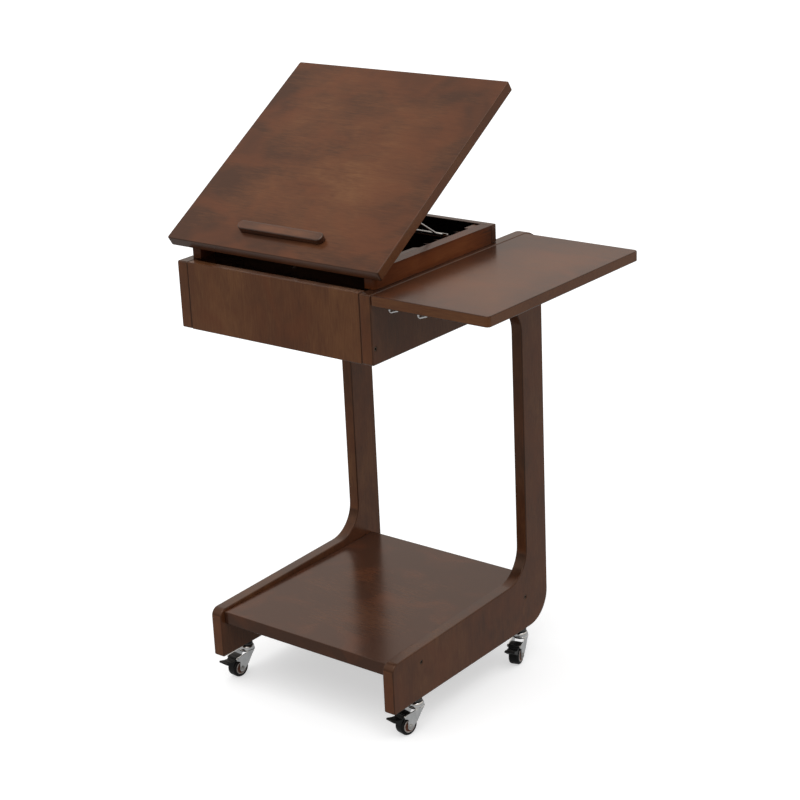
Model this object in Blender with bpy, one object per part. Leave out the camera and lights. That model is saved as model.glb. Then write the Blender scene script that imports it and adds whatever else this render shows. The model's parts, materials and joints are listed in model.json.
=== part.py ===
"""C-shaped end table on casters, with a tilting top, a storage box and a drop leaf.

Two C-shaped side frames carry a shelf at the bottom and an open box at the top.
A ratchet frame stands on the box. The top board is hinged at the front of that
frame and is propped by a wire bail over two notched strips. A leaf on the right
side folds down on two brackets. Four swivel casters with brake pedals carry it all.

Sizes are in millimetres. X runs to the right along the front of the box, Y to the
back and Z up. The finished model is in metres, centred over its footprint.
"""

import math

import bmesh
import bpy
from mathutils import Matrix, Vector

MM = 0.001

# Clearances and edge easing
SEAT_GAP = 0.3
RUNNING_GAP = 0.4
WOOD_EASE = 1.6
THIN_EASE = 0.5
EASE_STEPS = 2
ARC_STEP_DEG = 9.0
SMALL_ARC_STEP_DEG = 22.5
SMALL_ARC_RADIUS = 10.0
CUT_MARGIN = 1.0
PIN_FACETS = 12
WIRE_FACETS = 8

# Side frames
TABLE_WIDTH = 350.0
FRAME_THICKNESS = 19.0
FRAME_REAR = 400.0
FRAME_TOP = 678.0
POST_DEPTH = 54.0
RAIL_FRONT = 9.0
RAIL_FRONT_HEIGHT = 77.5
RAIL_RISE = 8.0
RAIL_NOSE_RADIUS = 13.0
INNER_RADIUS = 50.0
LOWER_REAR_RADIUS = 47.0
UPPER_REAR_RADIUS = 40.0
FRAME_CORNER_RADIUS = 2.0

# Bottom shelf
SHELF_THICKNESS = 20.0
SHELF_BELOW_NOSE = 3.5
SHELF_FRONT_SETBACK = 8.5
SHELF_REAR_SETBACK = 24.0

# Storage box
BOX_HEIGHT = 99.0
BOX_REAR = 300.0
BOX_FRONT_THICKNESS = 15.0
BOX_BACK_THICKNESS = 14.0
BOX_BOTTOM_THICKNESS = 6.0
BOX_BOTTOM_LIFT = 6.0
BOX_GROOVE_DEPTH = 5.0
CROSS_RAIL_FRONT = 50.0
CROSS_RAIL_THICKNESS = 14.0
CROSS_RAIL_DROP = 14.0
CROSS_RAIL_BELOW_TOP = 5.0
CROSS_SLOT_WIDTH = 7.0
CROSS_SLOT_DEPTH = 22.0

# Ratchet frame on the box
RATCHET_INSET = 8.0
RATCHET_SETBACK = 22.0
RATCHET_HEIGHT = 27.0
RATCHET_RAIL_WIDTH = 18.0
RATCHET_RAIL_NOSE = 5.0
RATCHET_REAR_THICKNESS = 12.0
STRIP_WIDTH = 12.0
STRIP_LIFT = 5.0
TOOTH_COUNT = 5
TOOTH_SEAT = 3
TOOTH_PITCH = 24.0
TOOTH_DEPTH = 5.0

# Tilting board
BOARD_SIDE_OVERHANG = 15.5
BOARD_LENGTH = 367.0
BOARD_THICKNESS = 15.5
BOARD_OVERHANG = 19.5
BOARD_TILT_DEG = 32.8
BOARD_CORNER_RADIUS = 3.0
PIVOT_BEHIND_RAIL_NOSE = 3.2
PIVOT_ABOVE_RAIL = 0.6
LEDGE_LENGTH = 152.0
LEDGE_WIDTH = 15.0
LEDGE_HEIGHT = 9.0
LEDGE_FROM_EDGE = 38.0
LEDGE_EASE = 2.2
BUMPER_RADIUS = 5.0
BUMPER_FROM_RAIL_END = 12.0

# Board hinges
HINGE_WIDTH = 16.0
HINGE_LEAF_LENGTH = 18.0
HINGE_LEAF_THICKNESS = 1.1
HINGE_LEAF_GAP = 0.2
HINGE_LEAF_SETBACK = 0.7
HINGE_PIN_RADIUS = 1.0
HINGE_PIN_CLEARANCE = 0.15
HINGE_PIN_HEAD_RADIUS = 1.8
HINGE_PIN_HEAD = 0.8

# Wire bail under the board
BAIL_LEG = 112.0
BAIL_INSIDE_STRIP = 12.0
BAIL_WIRE_RADIUS = 1.6
BAIL_BEND_RADIUS = 7.0
CROSSBAR_RADIUS = 2.0
CROSSBAR_ON_STRIP = 9.0
CROSSBAR_CLEARANCE = 0.5
CLIP_SPREAD = 60.0
CLIP_WIDTH = 10.0
CLIP_TAB = 7.0
CLIP_GAUGE = 0.8

# Drop leaf
LEAF_WIDTH = 190.0
LEAF_THICKNESS = 15.0
LEAF_GAP = 1.0
LEAF_CORNER_RADIUS = 6.0
LEAF_PIVOT_OUT = 10.0
LEAF_PIVOT_DROP = 10.0
BRACKETS_FROM_LEAF_REAR = (("front", 165.0), ("rear", 35.0))
BRACKET_GAUGE = 2.0
BRACKET_HALF_WIDTH = 13.0
BRACKET_EAR_SPREAD = 8.3
BRACKET_SWING_GAP = 0.7
BRACKET_BASE_LENGTH = 56.0
BRACKET_EAR_LENGTH = 24.0
BRACKET_ARM_LENGTH = 60.0
BRACKET_ARM_BACK = 4.0
BRACKET_ARM_TAPER = 30.0
BRACKET_PIN_RADIUS = 2.5
BRACKET_PIN_HEAD_RADIUS = 4.0
BRACKET_PIN_HEAD = 1.4
BRACKET_BASE_EAR_DEG = (-60.0, 90.0)
BRACKET_ARM_EAR_DEG = (150.0, 300.0)
HOOK_PLACES = (("inner", 15.0), ("outer", 63.0))
HOOK_FROM_FRONT = 20.0
HOOK_WIRE_RADIUS = 1.5
HOOK_FLANGE_RADIUS = 4.6
HOOK_FLANGE = 1.4
HOOK_DROP = 10.5
HOOK_BEND_RADIUS = 3.0
HOOK_ARM = 11.0
HOOK_ARM_RISE_DEG = 20.0

# Casters
CASTER_FRONT_SETBACK = 62.0
CASTER_REAR_SETBACK = 15.0
CASTER_HEADINGS_DEG = {"fl": 5.0, "fr": 11.0, "rl": 4.0, "rr": -15.0}
WHEEL_RADIUS = 15.0
WHEEL_HALF_WIDTH = 8.2
WHEEL_FACETS = 24
TYRE_BORE = 10.6
TYRE_SHOULDER = 2.0
HUB_RIM = 1.8
HUB_RECESS = 1.6
HUB_BOSS_RADIUS = 4.2
HUB_BOSS_STEP = 0.5
HUB_FACETS = 18
AXLE_RADIUS = 2.2
AXLE_CLEARANCE = 0.3
AXLE_HEAD_RADIUS = 4.0
AXLE_HEAD = 1.4
CASTER_TRAIL = 21.0
FORK_GAUGE = 1.6
FORK_HEAD_LIP = 1.3
FORK_HEAD_TAPER = 3.0
FORK_HEAD_HEIGHT = 9.3
FORK_HEAD_SKIRT = 3.4
FORK_HEAD_FACETS = 20
FORK_CHEEK_REAR = 5.0
FORK_PEDAL_EAR = 3.2
FORK_PEDAL_EAR_DEG = (90.0, 235.0)
FORK_AXLE_BOSS = 5.2
FORK_AXLE_BOSS_DEG = (165.0, 325.0)
FORK_WAIST = (-4.0, 12.6)
FORK_CHEEK_BACK = ((13.0, 4.5), (20.5, 15.0))
STEM_RADIUS = 4.0
STEM_LENGTH = 24.0
STEM_BORE_CLEARANCE = 0.25
STEM_FLANGE_RADIUS = 9.3
STEM_FLANGE = 4.7
STEM_FACETS = 16
KINGPIN_RADIUS = 2.9
KINGPIN_HEAD_RADIUS = 4.6
KINGPIN_HEAD = 2.4
PEDAL_TYRE_GAP = 3.5
PEDAL_THICKNESS = 3.0
PEDAL_SIDE_GAP = 0.8
PEDAL_HOOD_DEG = (24.0, 98.0)
PEDAL_PIVOT_DEG = 64.0
PEDAL_PIVOT_LOBE = 3.0
PEDAL_PIN_RADIUS = 1.4
PEDAL_TONGUE_DEG = 48.0
PEDAL_TIP_DEG = 27.0
PEDAL_TONGUE_REACH = 12.5
PEDAL_TONGUE_TIP = 3.4

# Casters, from the floor up to the rails
AXLE_Z = WHEEL_RADIUS * math.cos(math.pi / WHEEL_FACETS)
PEDAL_INNER_RADIUS = WHEEL_RADIUS + PEDAL_TYRE_GAP
PEDAL_OUTER_RADIUS = PEDAL_INNER_RADIUS + PEDAL_THICKNESS
FORK_HEAD_BOTTOM = AXLE_Z + PEDAL_OUTER_RADIUS
FORK_TOP = FORK_HEAD_BOTTOM + FORK_HEAD_HEIGHT
STEM_FLANGE_BOTTOM = FORK_TOP + SEAT_GAP
STEM_FLANGE_TOP = STEM_FLANGE_BOTTOM + STEM_FLANGE
RAIL_BOTTOM = STEM_FLANGE_TOP + SEAT_GAP
CHEEK_INNER = WHEEL_HALF_WIDTH + HUB_BOSS_STEP + RUNNING_GAP
CHEEK_OUTER = CHEEK_INNER + FORK_GAUGE
PEDAL_HALF_WIDTH = CHEEK_INNER - PEDAL_SIDE_GAP

# Frames, shelf and box
HALF_WIDTH = TABLE_WIDTH / 2
INNER_HALF = HALF_WIDTH - FRAME_THICKNESS
POST_FRONT = FRAME_REAR - POST_DEPTH
BOX_UNDERSIDE = FRAME_TOP - BOX_HEIGHT
RAIL_TOP_FRONT = RAIL_BOTTOM + RAIL_FRONT_HEIGHT
RAIL_TOP_REAR = RAIL_TOP_FRONT + RAIL_RISE
SHELF_TOP = RAIL_TOP_FRONT - SHELF_BELOW_NOSE
SHELF_FRONT = RAIL_FRONT + SHELF_FRONT_SETBACK
SHELF_REAR = FRAME_REAR - SHELF_REAR_SETBACK
STEM_X = HALF_WIDTH - FRAME_THICKNESS / 2
CASTER_FRONT_Y = RAIL_FRONT + CASTER_FRONT_SETBACK
CASTER_REAR_Y = FRAME_REAR - LOWER_REAR_RADIUS - CASTER_REAR_SETBACK
CASTER_PLACES = {
    "fl": (-STEM_X, CASTER_FRONT_Y),
    "fr": (STEM_X, CASTER_FRONT_Y),
    "rl": (-STEM_X, CASTER_REAR_Y),
    "rr": (STEM_X, CASTER_REAR_Y),
}

# Ratchet frame, board hinge and bail
RATCHET_OUTER = HALF_WIDTH - RATCHET_INSET
RATCHET_INNER = RATCHET_OUTER - RATCHET_RAIL_WIDTH
RATCHET_TOP = FRAME_TOP + RATCHET_HEIGHT
RATCHET_REAR_FRONT = BOX_REAR - RATCHET_REAR_THICKNESS
RATCHET_RAIL_REAR = RATCHET_REAR_FRONT - SEAT_GAP
STRIP_INNER = RATCHET_INNER - STRIP_WIDTH
CROSS_RAIL_REAR = CROSS_RAIL_FRONT + CROSS_RAIL_THICKNESS
CLOSED_GAP = 2 * HINGE_LEAF_THICKNESS + HINGE_LEAF_GAP + 2 * SEAT_GAP
PIVOT_BELOW_BOARD = CLOSED_GAP - PIVOT_ABOVE_RAIL
PIVOT_Y = RATCHET_SETBACK + PIVOT_BEHIND_RAIL_NOSE
PIVOT_Z = RATCHET_TOP + PIVOT_ABOVE_RAIL
KNUCKLE_RADIUS = PIVOT_BELOW_BOARD - HINGE_LEAF_GAP
HINGE_LEAF_START = KNUCKLE_RADIUS + HINGE_LEAF_SETBACK
HINGE_X = RATCHET_OUTER - RATCHET_RAIL_WIDTH / 2
TILT = math.radians(BOARD_TILT_DEG)
CROSSBAR_Y = PIVOT_Y + 2 * BAIL_LEG * math.cos(TILT)
TOOTH_TOP = PIVOT_Z - CROSSBAR_RADIUS - CROSSBAR_CLEARANCE
BAIL_LEG_SPREAD = STRIP_INNER - BAIL_INSIDE_STRIP

# Drop leaf and its brackets
LEAF_INNER = HALF_WIDTH + LEAF_GAP
LEAF_OUTER = LEAF_INNER + LEAF_WIDTH
LEAF_UNDERSIDE = FRAME_TOP - LEAF_THICKNESS
LEAF_REAR = FRAME_REAR - UPPER_REAR_RADIUS
LEAF_PIVOT_X = HALF_WIDTH + LEAF_PIVOT_OUT
LEAF_PIVOT_Z = LEAF_UNDERSIDE - LEAF_PIVOT_DROP
BRACKET_PLATE_DEPTH = SEAT_GAP + BRACKET_GAUGE + BRACKET_SWING_GAP
BRACKET_BASE_EAR_RADIUS = LEAF_PIVOT_DROP - BRACKET_PLATE_DEPTH
BRACKET_ARM_EAR_RADIUS = LEAF_PIVOT_OUT - BRACKET_PLATE_DEPTH
SIDES = (("left", -1), ("right", 1))


def clear_scene():
    """Remove every object, so that the script starts from nothing."""
    for item in list(bpy.data.objects):
        bpy.data.objects.remove(item, do_unlink=True)


def make_material(name, colour, roughness, metallic=0.0):
    """Return a plain Principled material."""
    material = bpy.data.materials.new(name)
    material.use_nodes = True
    shader = material.node_tree.nodes["Principled BSDF"]
    shader.inputs["Base Color"].default_value = (*colour, 1.0)
    shader.inputs["Roughness"].default_value = roughness
    shader.inputs["Metallic"].default_value = metallic
    return material


def make_materials():
    """Return the finishes of the table by name."""
    return {
        "walnut": make_material("walnut_stain", (0.115, 0.045, 0.024), 0.42),
        "lining": make_material("black_lining", (0.012, 0.011, 0.010), 0.70),
        "chrome": make_material("chrome", (0.80, 0.80, 0.80), 0.12, 1.0),
        "steel": make_material("zinc_steel", (0.55, 0.55, 0.54), 0.35, 1.0),
        "rubber": make_material("black_rubber", (0.022, 0.022, 0.022), 0.75),
        "hub": make_material("brown_hub", (0.210, 0.085, 0.050), 0.40),
        "plastic": make_material("black_plastic", (0.018, 0.018, 0.018), 0.50),
    }


def make_empty(name, parent, location=(0.0, 0.0, 0.0), rotation=(0.0, 0.0, 0.0)):
    """Return an empty that marks a joint, placed in its parent's frame."""
    empty = bpy.data.objects.new(name, None)
    bpy.context.collection.objects.link(empty)
    empty.parent = parent
    empty.location = Vector(location) * MM
    empty.rotation_euler = rotation
    return empty


def add_object(name, mesh_data, parent, material=None, location=(0.0, 0.0, 0.0)):
    """Write a bmesh, drawn in millimetres, to a named object under its parent."""
    bmesh.ops.scale(mesh_data, vec=(MM, MM, MM), verts=mesh_data.verts)
    bmesh.ops.recalc_face_normals(mesh_data, faces=mesh_data.faces)
    mesh = bpy.data.meshes.new(name)
    mesh_data.to_mesh(mesh)
    mesh_data.free()
    item = bpy.data.objects.new(name, mesh)
    bpy.context.collection.objects.link(item)
    item.parent = parent
    item.location = Vector(location) * MM
    if material is not None:
        mesh.materials.append(material)
    return item


def smooth(item, angle_deg=35.0):
    """Shade a round piece smooth, with its real edges kept sharp."""
    item.data.shade_smooth()
    item.data.set_sharp_from_angle(angle=math.radians(angle_deg))
    return item


def add_boolean(item, tool, operation):
    """Cut a hidden tool out of an object, or join it on."""
    tool.hide_render = True
    tool.display_type = "WIRE"
    modifier = item.modifiers.new(f"{operation.lower()}_{tool.name}", "BOOLEAN")
    modifier.operation = operation
    modifier.object = tool
    return item


def arc_points(centre, radius, start_deg, end_deg):
    """Return points along an arc, both ends included."""
    step_deg = SMALL_ARC_STEP_DEG if radius < SMALL_ARC_RADIUS else ARC_STEP_DEG
    steps = max(2, math.ceil(abs(end_deg - start_deg) / step_deg))
    points = []
    for index in range(steps + 1):
        angle = math.radians(start_deg + (end_deg - start_deg) * index / steps)
        points.append((centre[0] + radius * math.cos(angle), centre[1] + radius * math.sin(angle)))
    return points


def round_outline(corners):
    """Return a closed outline from corners given as (across, up, corner radius)."""
    outline = []
    count = len(corners)
    for index, (across, up, radius) in enumerate(corners):
        here = Vector((across, up))
        if radius <= 0.0:
            outline.append((across, up))
            continue
        before = Vector(corners[index - 1][:2]) - here
        after = Vector(corners[(index + 1) % count][:2]) - here
        before.normalize()
        after.normalize()
        half_angle = before.angle(after) / 2
        centre = here + (before + after).normalized() * (radius / math.sin(half_angle))
        first = here + before * (radius / math.tan(half_angle)) - centre
        last = here + after * (radius / math.tan(half_angle)) - centre
        start_deg = math.degrees(math.atan2(first.y, first.x))
        sweep_deg = math.degrees(math.atan2(last.y, last.x)) - start_deg
        sweep_deg = (sweep_deg + 180.0) % 360.0 - 180.0
        outline.extend(arc_points(centre, radius, start_deg, start_deg + sweep_deg))
    return outline


def ease_edges(data, edges, ease):
    """Round the given edges over by a small amount."""
    bmesh.ops.bevel(data, geom=edges, offset=ease, segments=EASE_STEPS, profile=0.5, affect="EDGES")


def prism_mesh(outline, normal_axis, low, high, ease=0.0):
    """Return an outline extruded along X, Y or Z, with both rims eased.

    The outline's pairs are (Y, Z) for X, (X, Z) for Y and (X, Y) for Z.
    """
    place = {
        "X": lambda a, b: (low, a, b),
        "Y": lambda a, b: (a, low, b),
        "Z": lambda a, b: (a, b, low),
    }[normal_axis]
    direction = {"X": (1, 0, 0), "Y": (0, 1, 0), "Z": (0, 0, 1)}[normal_axis]
    data = bmesh.new()
    base = data.faces.new([data.verts.new(place(a, b)) for a, b in outline])
    result = bmesh.ops.extrude_face_region(data, geom=[base])
    moved = [part for part in result["geom"] if isinstance(part, bmesh.types.BMVert)]
    bmesh.ops.translate(data, vec=Vector(direction) * (high - low), verts=moved)
    bmesh.ops.recalc_face_normals(data, faces=data.faces)
    if ease > 0.0:
        rims = [face for face in data.faces if len(face.verts) == len(outline)]
        edges = list({edge for face in rims for edge in face.edges})
        ease_edges(data, edges, ease)
    return data


def slab_mesh(low, high, ease=0.0):
    """Return a block between two corners, with all its edges eased."""
    size = Vector(high) - Vector(low)
    middle = (Vector(high) + Vector(low)) / 2
    data = bmesh.new()
    bmesh.ops.create_cube(data, size=1.0, matrix=Matrix.Translation(middle) @ Matrix.Diagonal((*size, 1.0)))
    if ease > 0.0:
        ease_edges(data, data.edges[:], ease)
    return data


def lathe_mesh(profile, steps, axis="Z", closed=False, start_deg=0.0):
    """Turn a profile of (radius, height) about an axis.

    An open profile starts and ends on the axis. A closed one is a ring.
    """
    data = bmesh.new()
    rings = []
    for radius, height in profile:
        if radius == 0.0:
            rings.append([data.verts.new((0.0, 0.0, height))])
            continue
        ring = []
        for index in range(steps):
            angle = math.radians(start_deg) + 2 * math.pi * index / steps
            ring.append(data.verts.new((radius * math.cos(angle), radius * math.sin(angle), height)))
        rings.append(ring)
    pairs = list(zip(rings, rings[1:]))
    if closed:
        pairs.append((rings[-1], rings[0]))
    for lower, upper in pairs:
        for index in range(steps):
            following = (index + 1) % steps
            corners = [lower[index % len(lower)], lower[following % len(lower)]]
            corners += [upper[following % len(upper)], upper[index % len(upper)]]
            data.faces.new(list(dict.fromkeys(corners)))
    if axis == "X":
        bmesh.ops.rotate(data, matrix=Matrix.Rotation(math.pi / 2, 3, "Y"), verts=data.verts)
    if axis == "Y":
        bmesh.ops.rotate(data, matrix=Matrix.Rotation(-math.pi / 2, 3, "X"), verts=data.verts)
    return data


def rod_mesh(radius, low, high, axis, steps=16):
    """Return a plain round rod along an axis."""
    return lathe_mesh([(0.0, low), (radius, low), (radius, high), (0.0, high)], steps, axis)


def headed_pin_mesh(radius, head_radius, head, half_grip, axis, steps):
    """Return a pin with a flat head at both ends of its grip."""
    outer = half_grip + head
    profile = [(0.0, -outer), (head_radius, -outer), (head_radius, -half_grip), (radius, -half_grip)]
    profile += [(level_radius, -height) for level_radius, height in reversed(profile)]
    return lathe_mesh(profile, steps, axis)


def tube_mesh(path, radius, sides=10):
    """Return a capped round tube along a path of points."""
    points = [Vector(point) for point in path]
    data = bmesh.new()
    side = (points[1] - points[0]).orthogonal().normalized()
    rings = []
    for index, point in enumerate(points):
        ahead = points[min(index + 1, len(points) - 1)]
        behind = points[max(index - 1, 0)]
        along = (ahead - behind).normalized()
        side = (side - along * side.dot(along)).normalized()
        other = along.cross(side)
        ring = []
        for step in range(sides):
            angle = 2 * math.pi * step / sides
            ring.append(data.verts.new(point + (side * math.cos(angle) + other * math.sin(angle)) * radius))
        rings.append(ring)
    for lower, upper in zip(rings, rings[1:]):
        for step in range(sides):
            following = (step + 1) % sides
            data.faces.new((lower[step], lower[following], upper[following], upper[step]))
    data.faces.new(rings[0])
    data.faces.new(rings[-1])
    return data


def cut_rod(item, parent, radius, low, high, axis, location):
    """Cut a round hole through an object."""
    tool = add_object(f"{item.name}_bore", rod_mesh(radius, low, high, axis), parent, location=location)
    return add_boolean(item, tool, "DIFFERENCE")


def side_frame_outline():
    """Return the C of a side frame in (Y, Z)."""
    return round_outline([
        (RAIL_FRONT, RAIL_BOTTOM, FRAME_CORNER_RADIUS),
        (FRAME_REAR, RAIL_BOTTOM, LOWER_REAR_RADIUS),
        (FRAME_REAR, FRAME_TOP, UPPER_REAR_RADIUS),
        (0.0, FRAME_TOP, FRAME_CORNER_RADIUS),
        (0.0, BOX_UNDERSIDE, FRAME_CORNER_RADIUS),
        (POST_FRONT, BOX_UNDERSIDE, INNER_RADIUS),
        (POST_FRONT, RAIL_TOP_REAR, INNER_RADIUS),
        (RAIL_FRONT, RAIL_TOP_FRONT, RAIL_NOSE_RADIUS),
    ])


def build_side_frames(root, finish):
    """Build both C-shaped side frames, bored from below for the caster stems."""
    bore = STEM_RADIUS + STEM_BORE_CLEARANCE
    bore_top = RAIL_BOTTOM + STEM_LENGTH + SEAT_GAP
    for side_name, side in SIDES:
        low, high = sorted((side * INNER_HALF, side * HALF_WIDTH))
        data = prism_mesh(side_frame_outline(), "X", low, high, WOOD_EASE)
        frame = add_object(f"side_frame_{side_name}", data, root, finish["walnut"])
        for caster_y in (CASTER_FRONT_Y, CASTER_REAR_Y):
            place = (side * STEM_X, caster_y, 0.0)
            cut_rod(frame, root, bore, RAIL_BOTTOM - CUT_MARGIN, bore_top, "Z", place)


def build_shelf(root, finish):
    """Build the shelf that ties the two bottom rails together."""
    half = INNER_HALF - SEAT_GAP
    low = (-half, SHELF_FRONT, SHELF_TOP - SHELF_THICKNESS)
    high = (half, SHELF_REAR, SHELF_TOP)
    add_object("bottom_shelf", slab_mesh(low, high, WOOD_EASE), root, finish["walnut"])


def build_box(root, finish):
    """Build the front, back, bottom and cross rail of the storage box."""
    half = INNER_HALF - SEAT_GAP
    bottom_low = BOX_UNDERSIDE + BOX_BOTTOM_LIFT
    bottom_high = bottom_low + BOX_BOTTOM_THICKNESS
    back_front = BOX_REAR - BOX_BACK_THICKNESS
    groove_low = bottom_low - SEAT_GAP
    groove_high = bottom_high + SEAT_GAP
    front_groove = BOX_FRONT_THICKNESS - BOX_GROOVE_DEPTH
    back_groove = back_front + BOX_GROOVE_DEPTH

    low = (-half, 0.0, BOX_UNDERSIDE)
    high = (half, BOX_FRONT_THICKNESS, FRAME_TOP)
    front = add_object("box_front", slab_mesh(low, high, WOOD_EASE), root, finish["walnut"])
    low = (-half - CUT_MARGIN, front_groove, groove_low)
    high = (half + CUT_MARGIN, BOX_FRONT_THICKNESS + CUT_MARGIN, groove_high)
    add_boolean(front, add_object("box_front_groove", slab_mesh(low, high), root), "DIFFERENCE")

    low = (-half, back_front, BOX_UNDERSIDE)
    high = (half, BOX_REAR, FRAME_TOP - SEAT_GAP)
    back = add_object("box_back", slab_mesh(low, high, WOOD_EASE), root, finish["walnut"])
    low = (-half - CUT_MARGIN, back_front - CUT_MARGIN, groove_low)
    high = (half + CUT_MARGIN, back_groove, groove_high)
    add_boolean(back, add_object("box_back_groove", slab_mesh(low, high), root), "DIFFERENCE")

    low = (-half, front_groove + SEAT_GAP, bottom_low)
    high = (half, back_groove - SEAT_GAP, bottom_high)
    add_object("box_bottom", slab_mesh(low, high, THIN_EASE), root, finish["lining"])

    rail_half = RATCHET_INNER - SEAT_GAP
    slot_half = CROSS_SLOT_WIDTH / 2
    rail_low = FRAME_TOP - CROSS_RAIL_DROP
    rail_high = RATCHET_TOP - CROSS_RAIL_BELOW_TOP
    slot_floor = rail_high - CROSS_SLOT_DEPTH
    outline = [
        (-rail_half, rail_low), (rail_half, rail_low), (rail_half, rail_high), (slot_half, rail_high),
        (slot_half, slot_floor), (-slot_half, slot_floor), (-slot_half, rail_high), (-rail_half, rail_high),
    ]
    data = prism_mesh(outline, "Y", CROSS_RAIL_FRONT, CROSS_RAIL_REAR, THIN_EASE)
    add_object("box_cross_rail", data, root, finish["walnut"])


def build_ratchet_frame(root, finish):
    """Build the rails that stand on the box and the notched strips inside them."""
    bottom = FRAME_TOP + SEAT_GAP
    mortise_half = RATCHET_RAIL_WIDTH / 2 + CUT_MARGIN
    mortise_floor = PIVOT_Z - KNUCKLE_RADIUS - SEAT_GAP
    for side_name, side in SIDES:
        inner, outer = side * RATCHET_INNER, side * RATCHET_OUTER
        outline = round_outline([
            (inner, RATCHET_SETBACK, 0.0), (outer, RATCHET_SETBACK, RATCHET_RAIL_NOSE),
            (outer, RATCHET_RAIL_REAR, 0.0), (inner, RATCHET_RAIL_REAR, 0.0),
        ])
        data = prism_mesh(outline, "Z", bottom, RATCHET_TOP, THIN_EASE)
        rail = add_object(f"ratchet_rail_{side_name}", data, root, finish["walnut"])
        low = (side * HINGE_X - mortise_half, RATCHET_SETBACK - CUT_MARGIN, mortise_floor)
        high = (side * HINGE_X + mortise_half, PIVOT_Y + HINGE_LEAF_START, RATCHET_TOP + CUT_MARGIN)
        mortise = add_object(f"ratchet_rail_{side_name}_mortise", slab_mesh(low, high), root)
        add_boolean(rail, mortise, "DIFFERENCE")

        low, high = sorted((side * STRIP_INNER, side * (RATCHET_INNER - SEAT_GAP)))
        data = prism_mesh(strip_outline(), "X", low, high)
        add_object(f"ratchet_strip_{side_name}", data, root, finish["walnut"])

    low = (-RATCHET_OUTER, RATCHET_REAR_FRONT, bottom)
    high = (RATCHET_OUTER, BOX_REAR, RATCHET_TOP)
    add_object("ratchet_rear_rail", slab_mesh(low, high, WOOD_EASE), root, finish["walnut"])


def strip_outline():
    """Return a notched strip in (Y, Z): ramps that fall to the back, each ending at a stop."""
    front = CROSS_RAIL_REAR + SEAT_GAP
    rear = RATCHET_REAR_FRONT - 2 * SEAT_GAP
    bottom = FRAME_TOP + STRIP_LIFT
    seat_stop = CROSSBAR_Y + CROSSBAR_RADIUS + SEAT_GAP
    outline = [(front, bottom), (rear, bottom), (rear, TOOTH_TOP)]
    stops = [seat_stop + (number - TOOTH_SEAT) * TOOTH_PITCH for number in range(1, TOOTH_COUNT + 1)]
    stops = [stop for stop in stops if front < stop - TOOTH_PITCH and stop < rear]
    for stop in reversed(stops):
        outline.append((stop, TOOTH_TOP))
        outline.append((stop, TOOTH_TOP - TOOTH_DEPTH))
    outline.append((stops[0] - TOOTH_PITCH, TOOTH_TOP))
    outline.append((front, TOOTH_TOP))
    return outline


def build_board(pivot, finish):
    """Build the tilting board, its book ledge and its bumpers, about the hinge axis."""
    half = HALF_WIDTH + BOARD_SIDE_OVERHANG
    low_edge = -BOARD_OVERHANG
    high_edge = BOARD_LENGTH - BOARD_OVERHANG
    radius = BOARD_CORNER_RADIUS
    outline = round_outline([
        (-half, low_edge, radius), (half, low_edge, radius),
        (half, high_edge, radius), (-half, high_edge, radius),
    ])
    top = PIVOT_BELOW_BOARD + BOARD_THICKNESS
    data = prism_mesh(outline, "Z", PIVOT_BELOW_BOARD, top, WOOD_EASE)
    add_object("tilt_board", data, pivot, finish["walnut"])

    half_length = LEDGE_LENGTH / 2
    ledge_y = low_edge + LEDGE_FROM_EDGE
    end_radius = LEDGE_WIDTH / 2
    outline = arc_points((half_length - end_radius, ledge_y), end_radius, -90.0, 90.0)
    outline += arc_points((end_radius - half_length, ledge_y), end_radius, 90.0, 270.0)
    data = prism_mesh(outline, "Z", top + SEAT_GAP, top + SEAT_GAP + LEDGE_HEIGHT, LEDGE_EASE)
    smooth(add_object("book_ledge", data, pivot, finish["walnut"]))

    bumper_top = PIVOT_BELOW_BOARD - SEAT_GAP
    bumper_foot = SEAT_GAP - PIVOT_ABOVE_RAIL
    bumper_y = RATCHET_RAIL_REAR - BUMPER_FROM_RAIL_END - PIVOT_Y
    for side_name, side in SIDES:
        data = rod_mesh(BUMPER_RADIUS, bumper_foot, bumper_top, "Z")
        place = (side * HINGE_X, bumper_y, 0.0)
        smooth(add_object(f"board_bumper_{side_name}", data, pivot, finish["rubber"], place))


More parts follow.
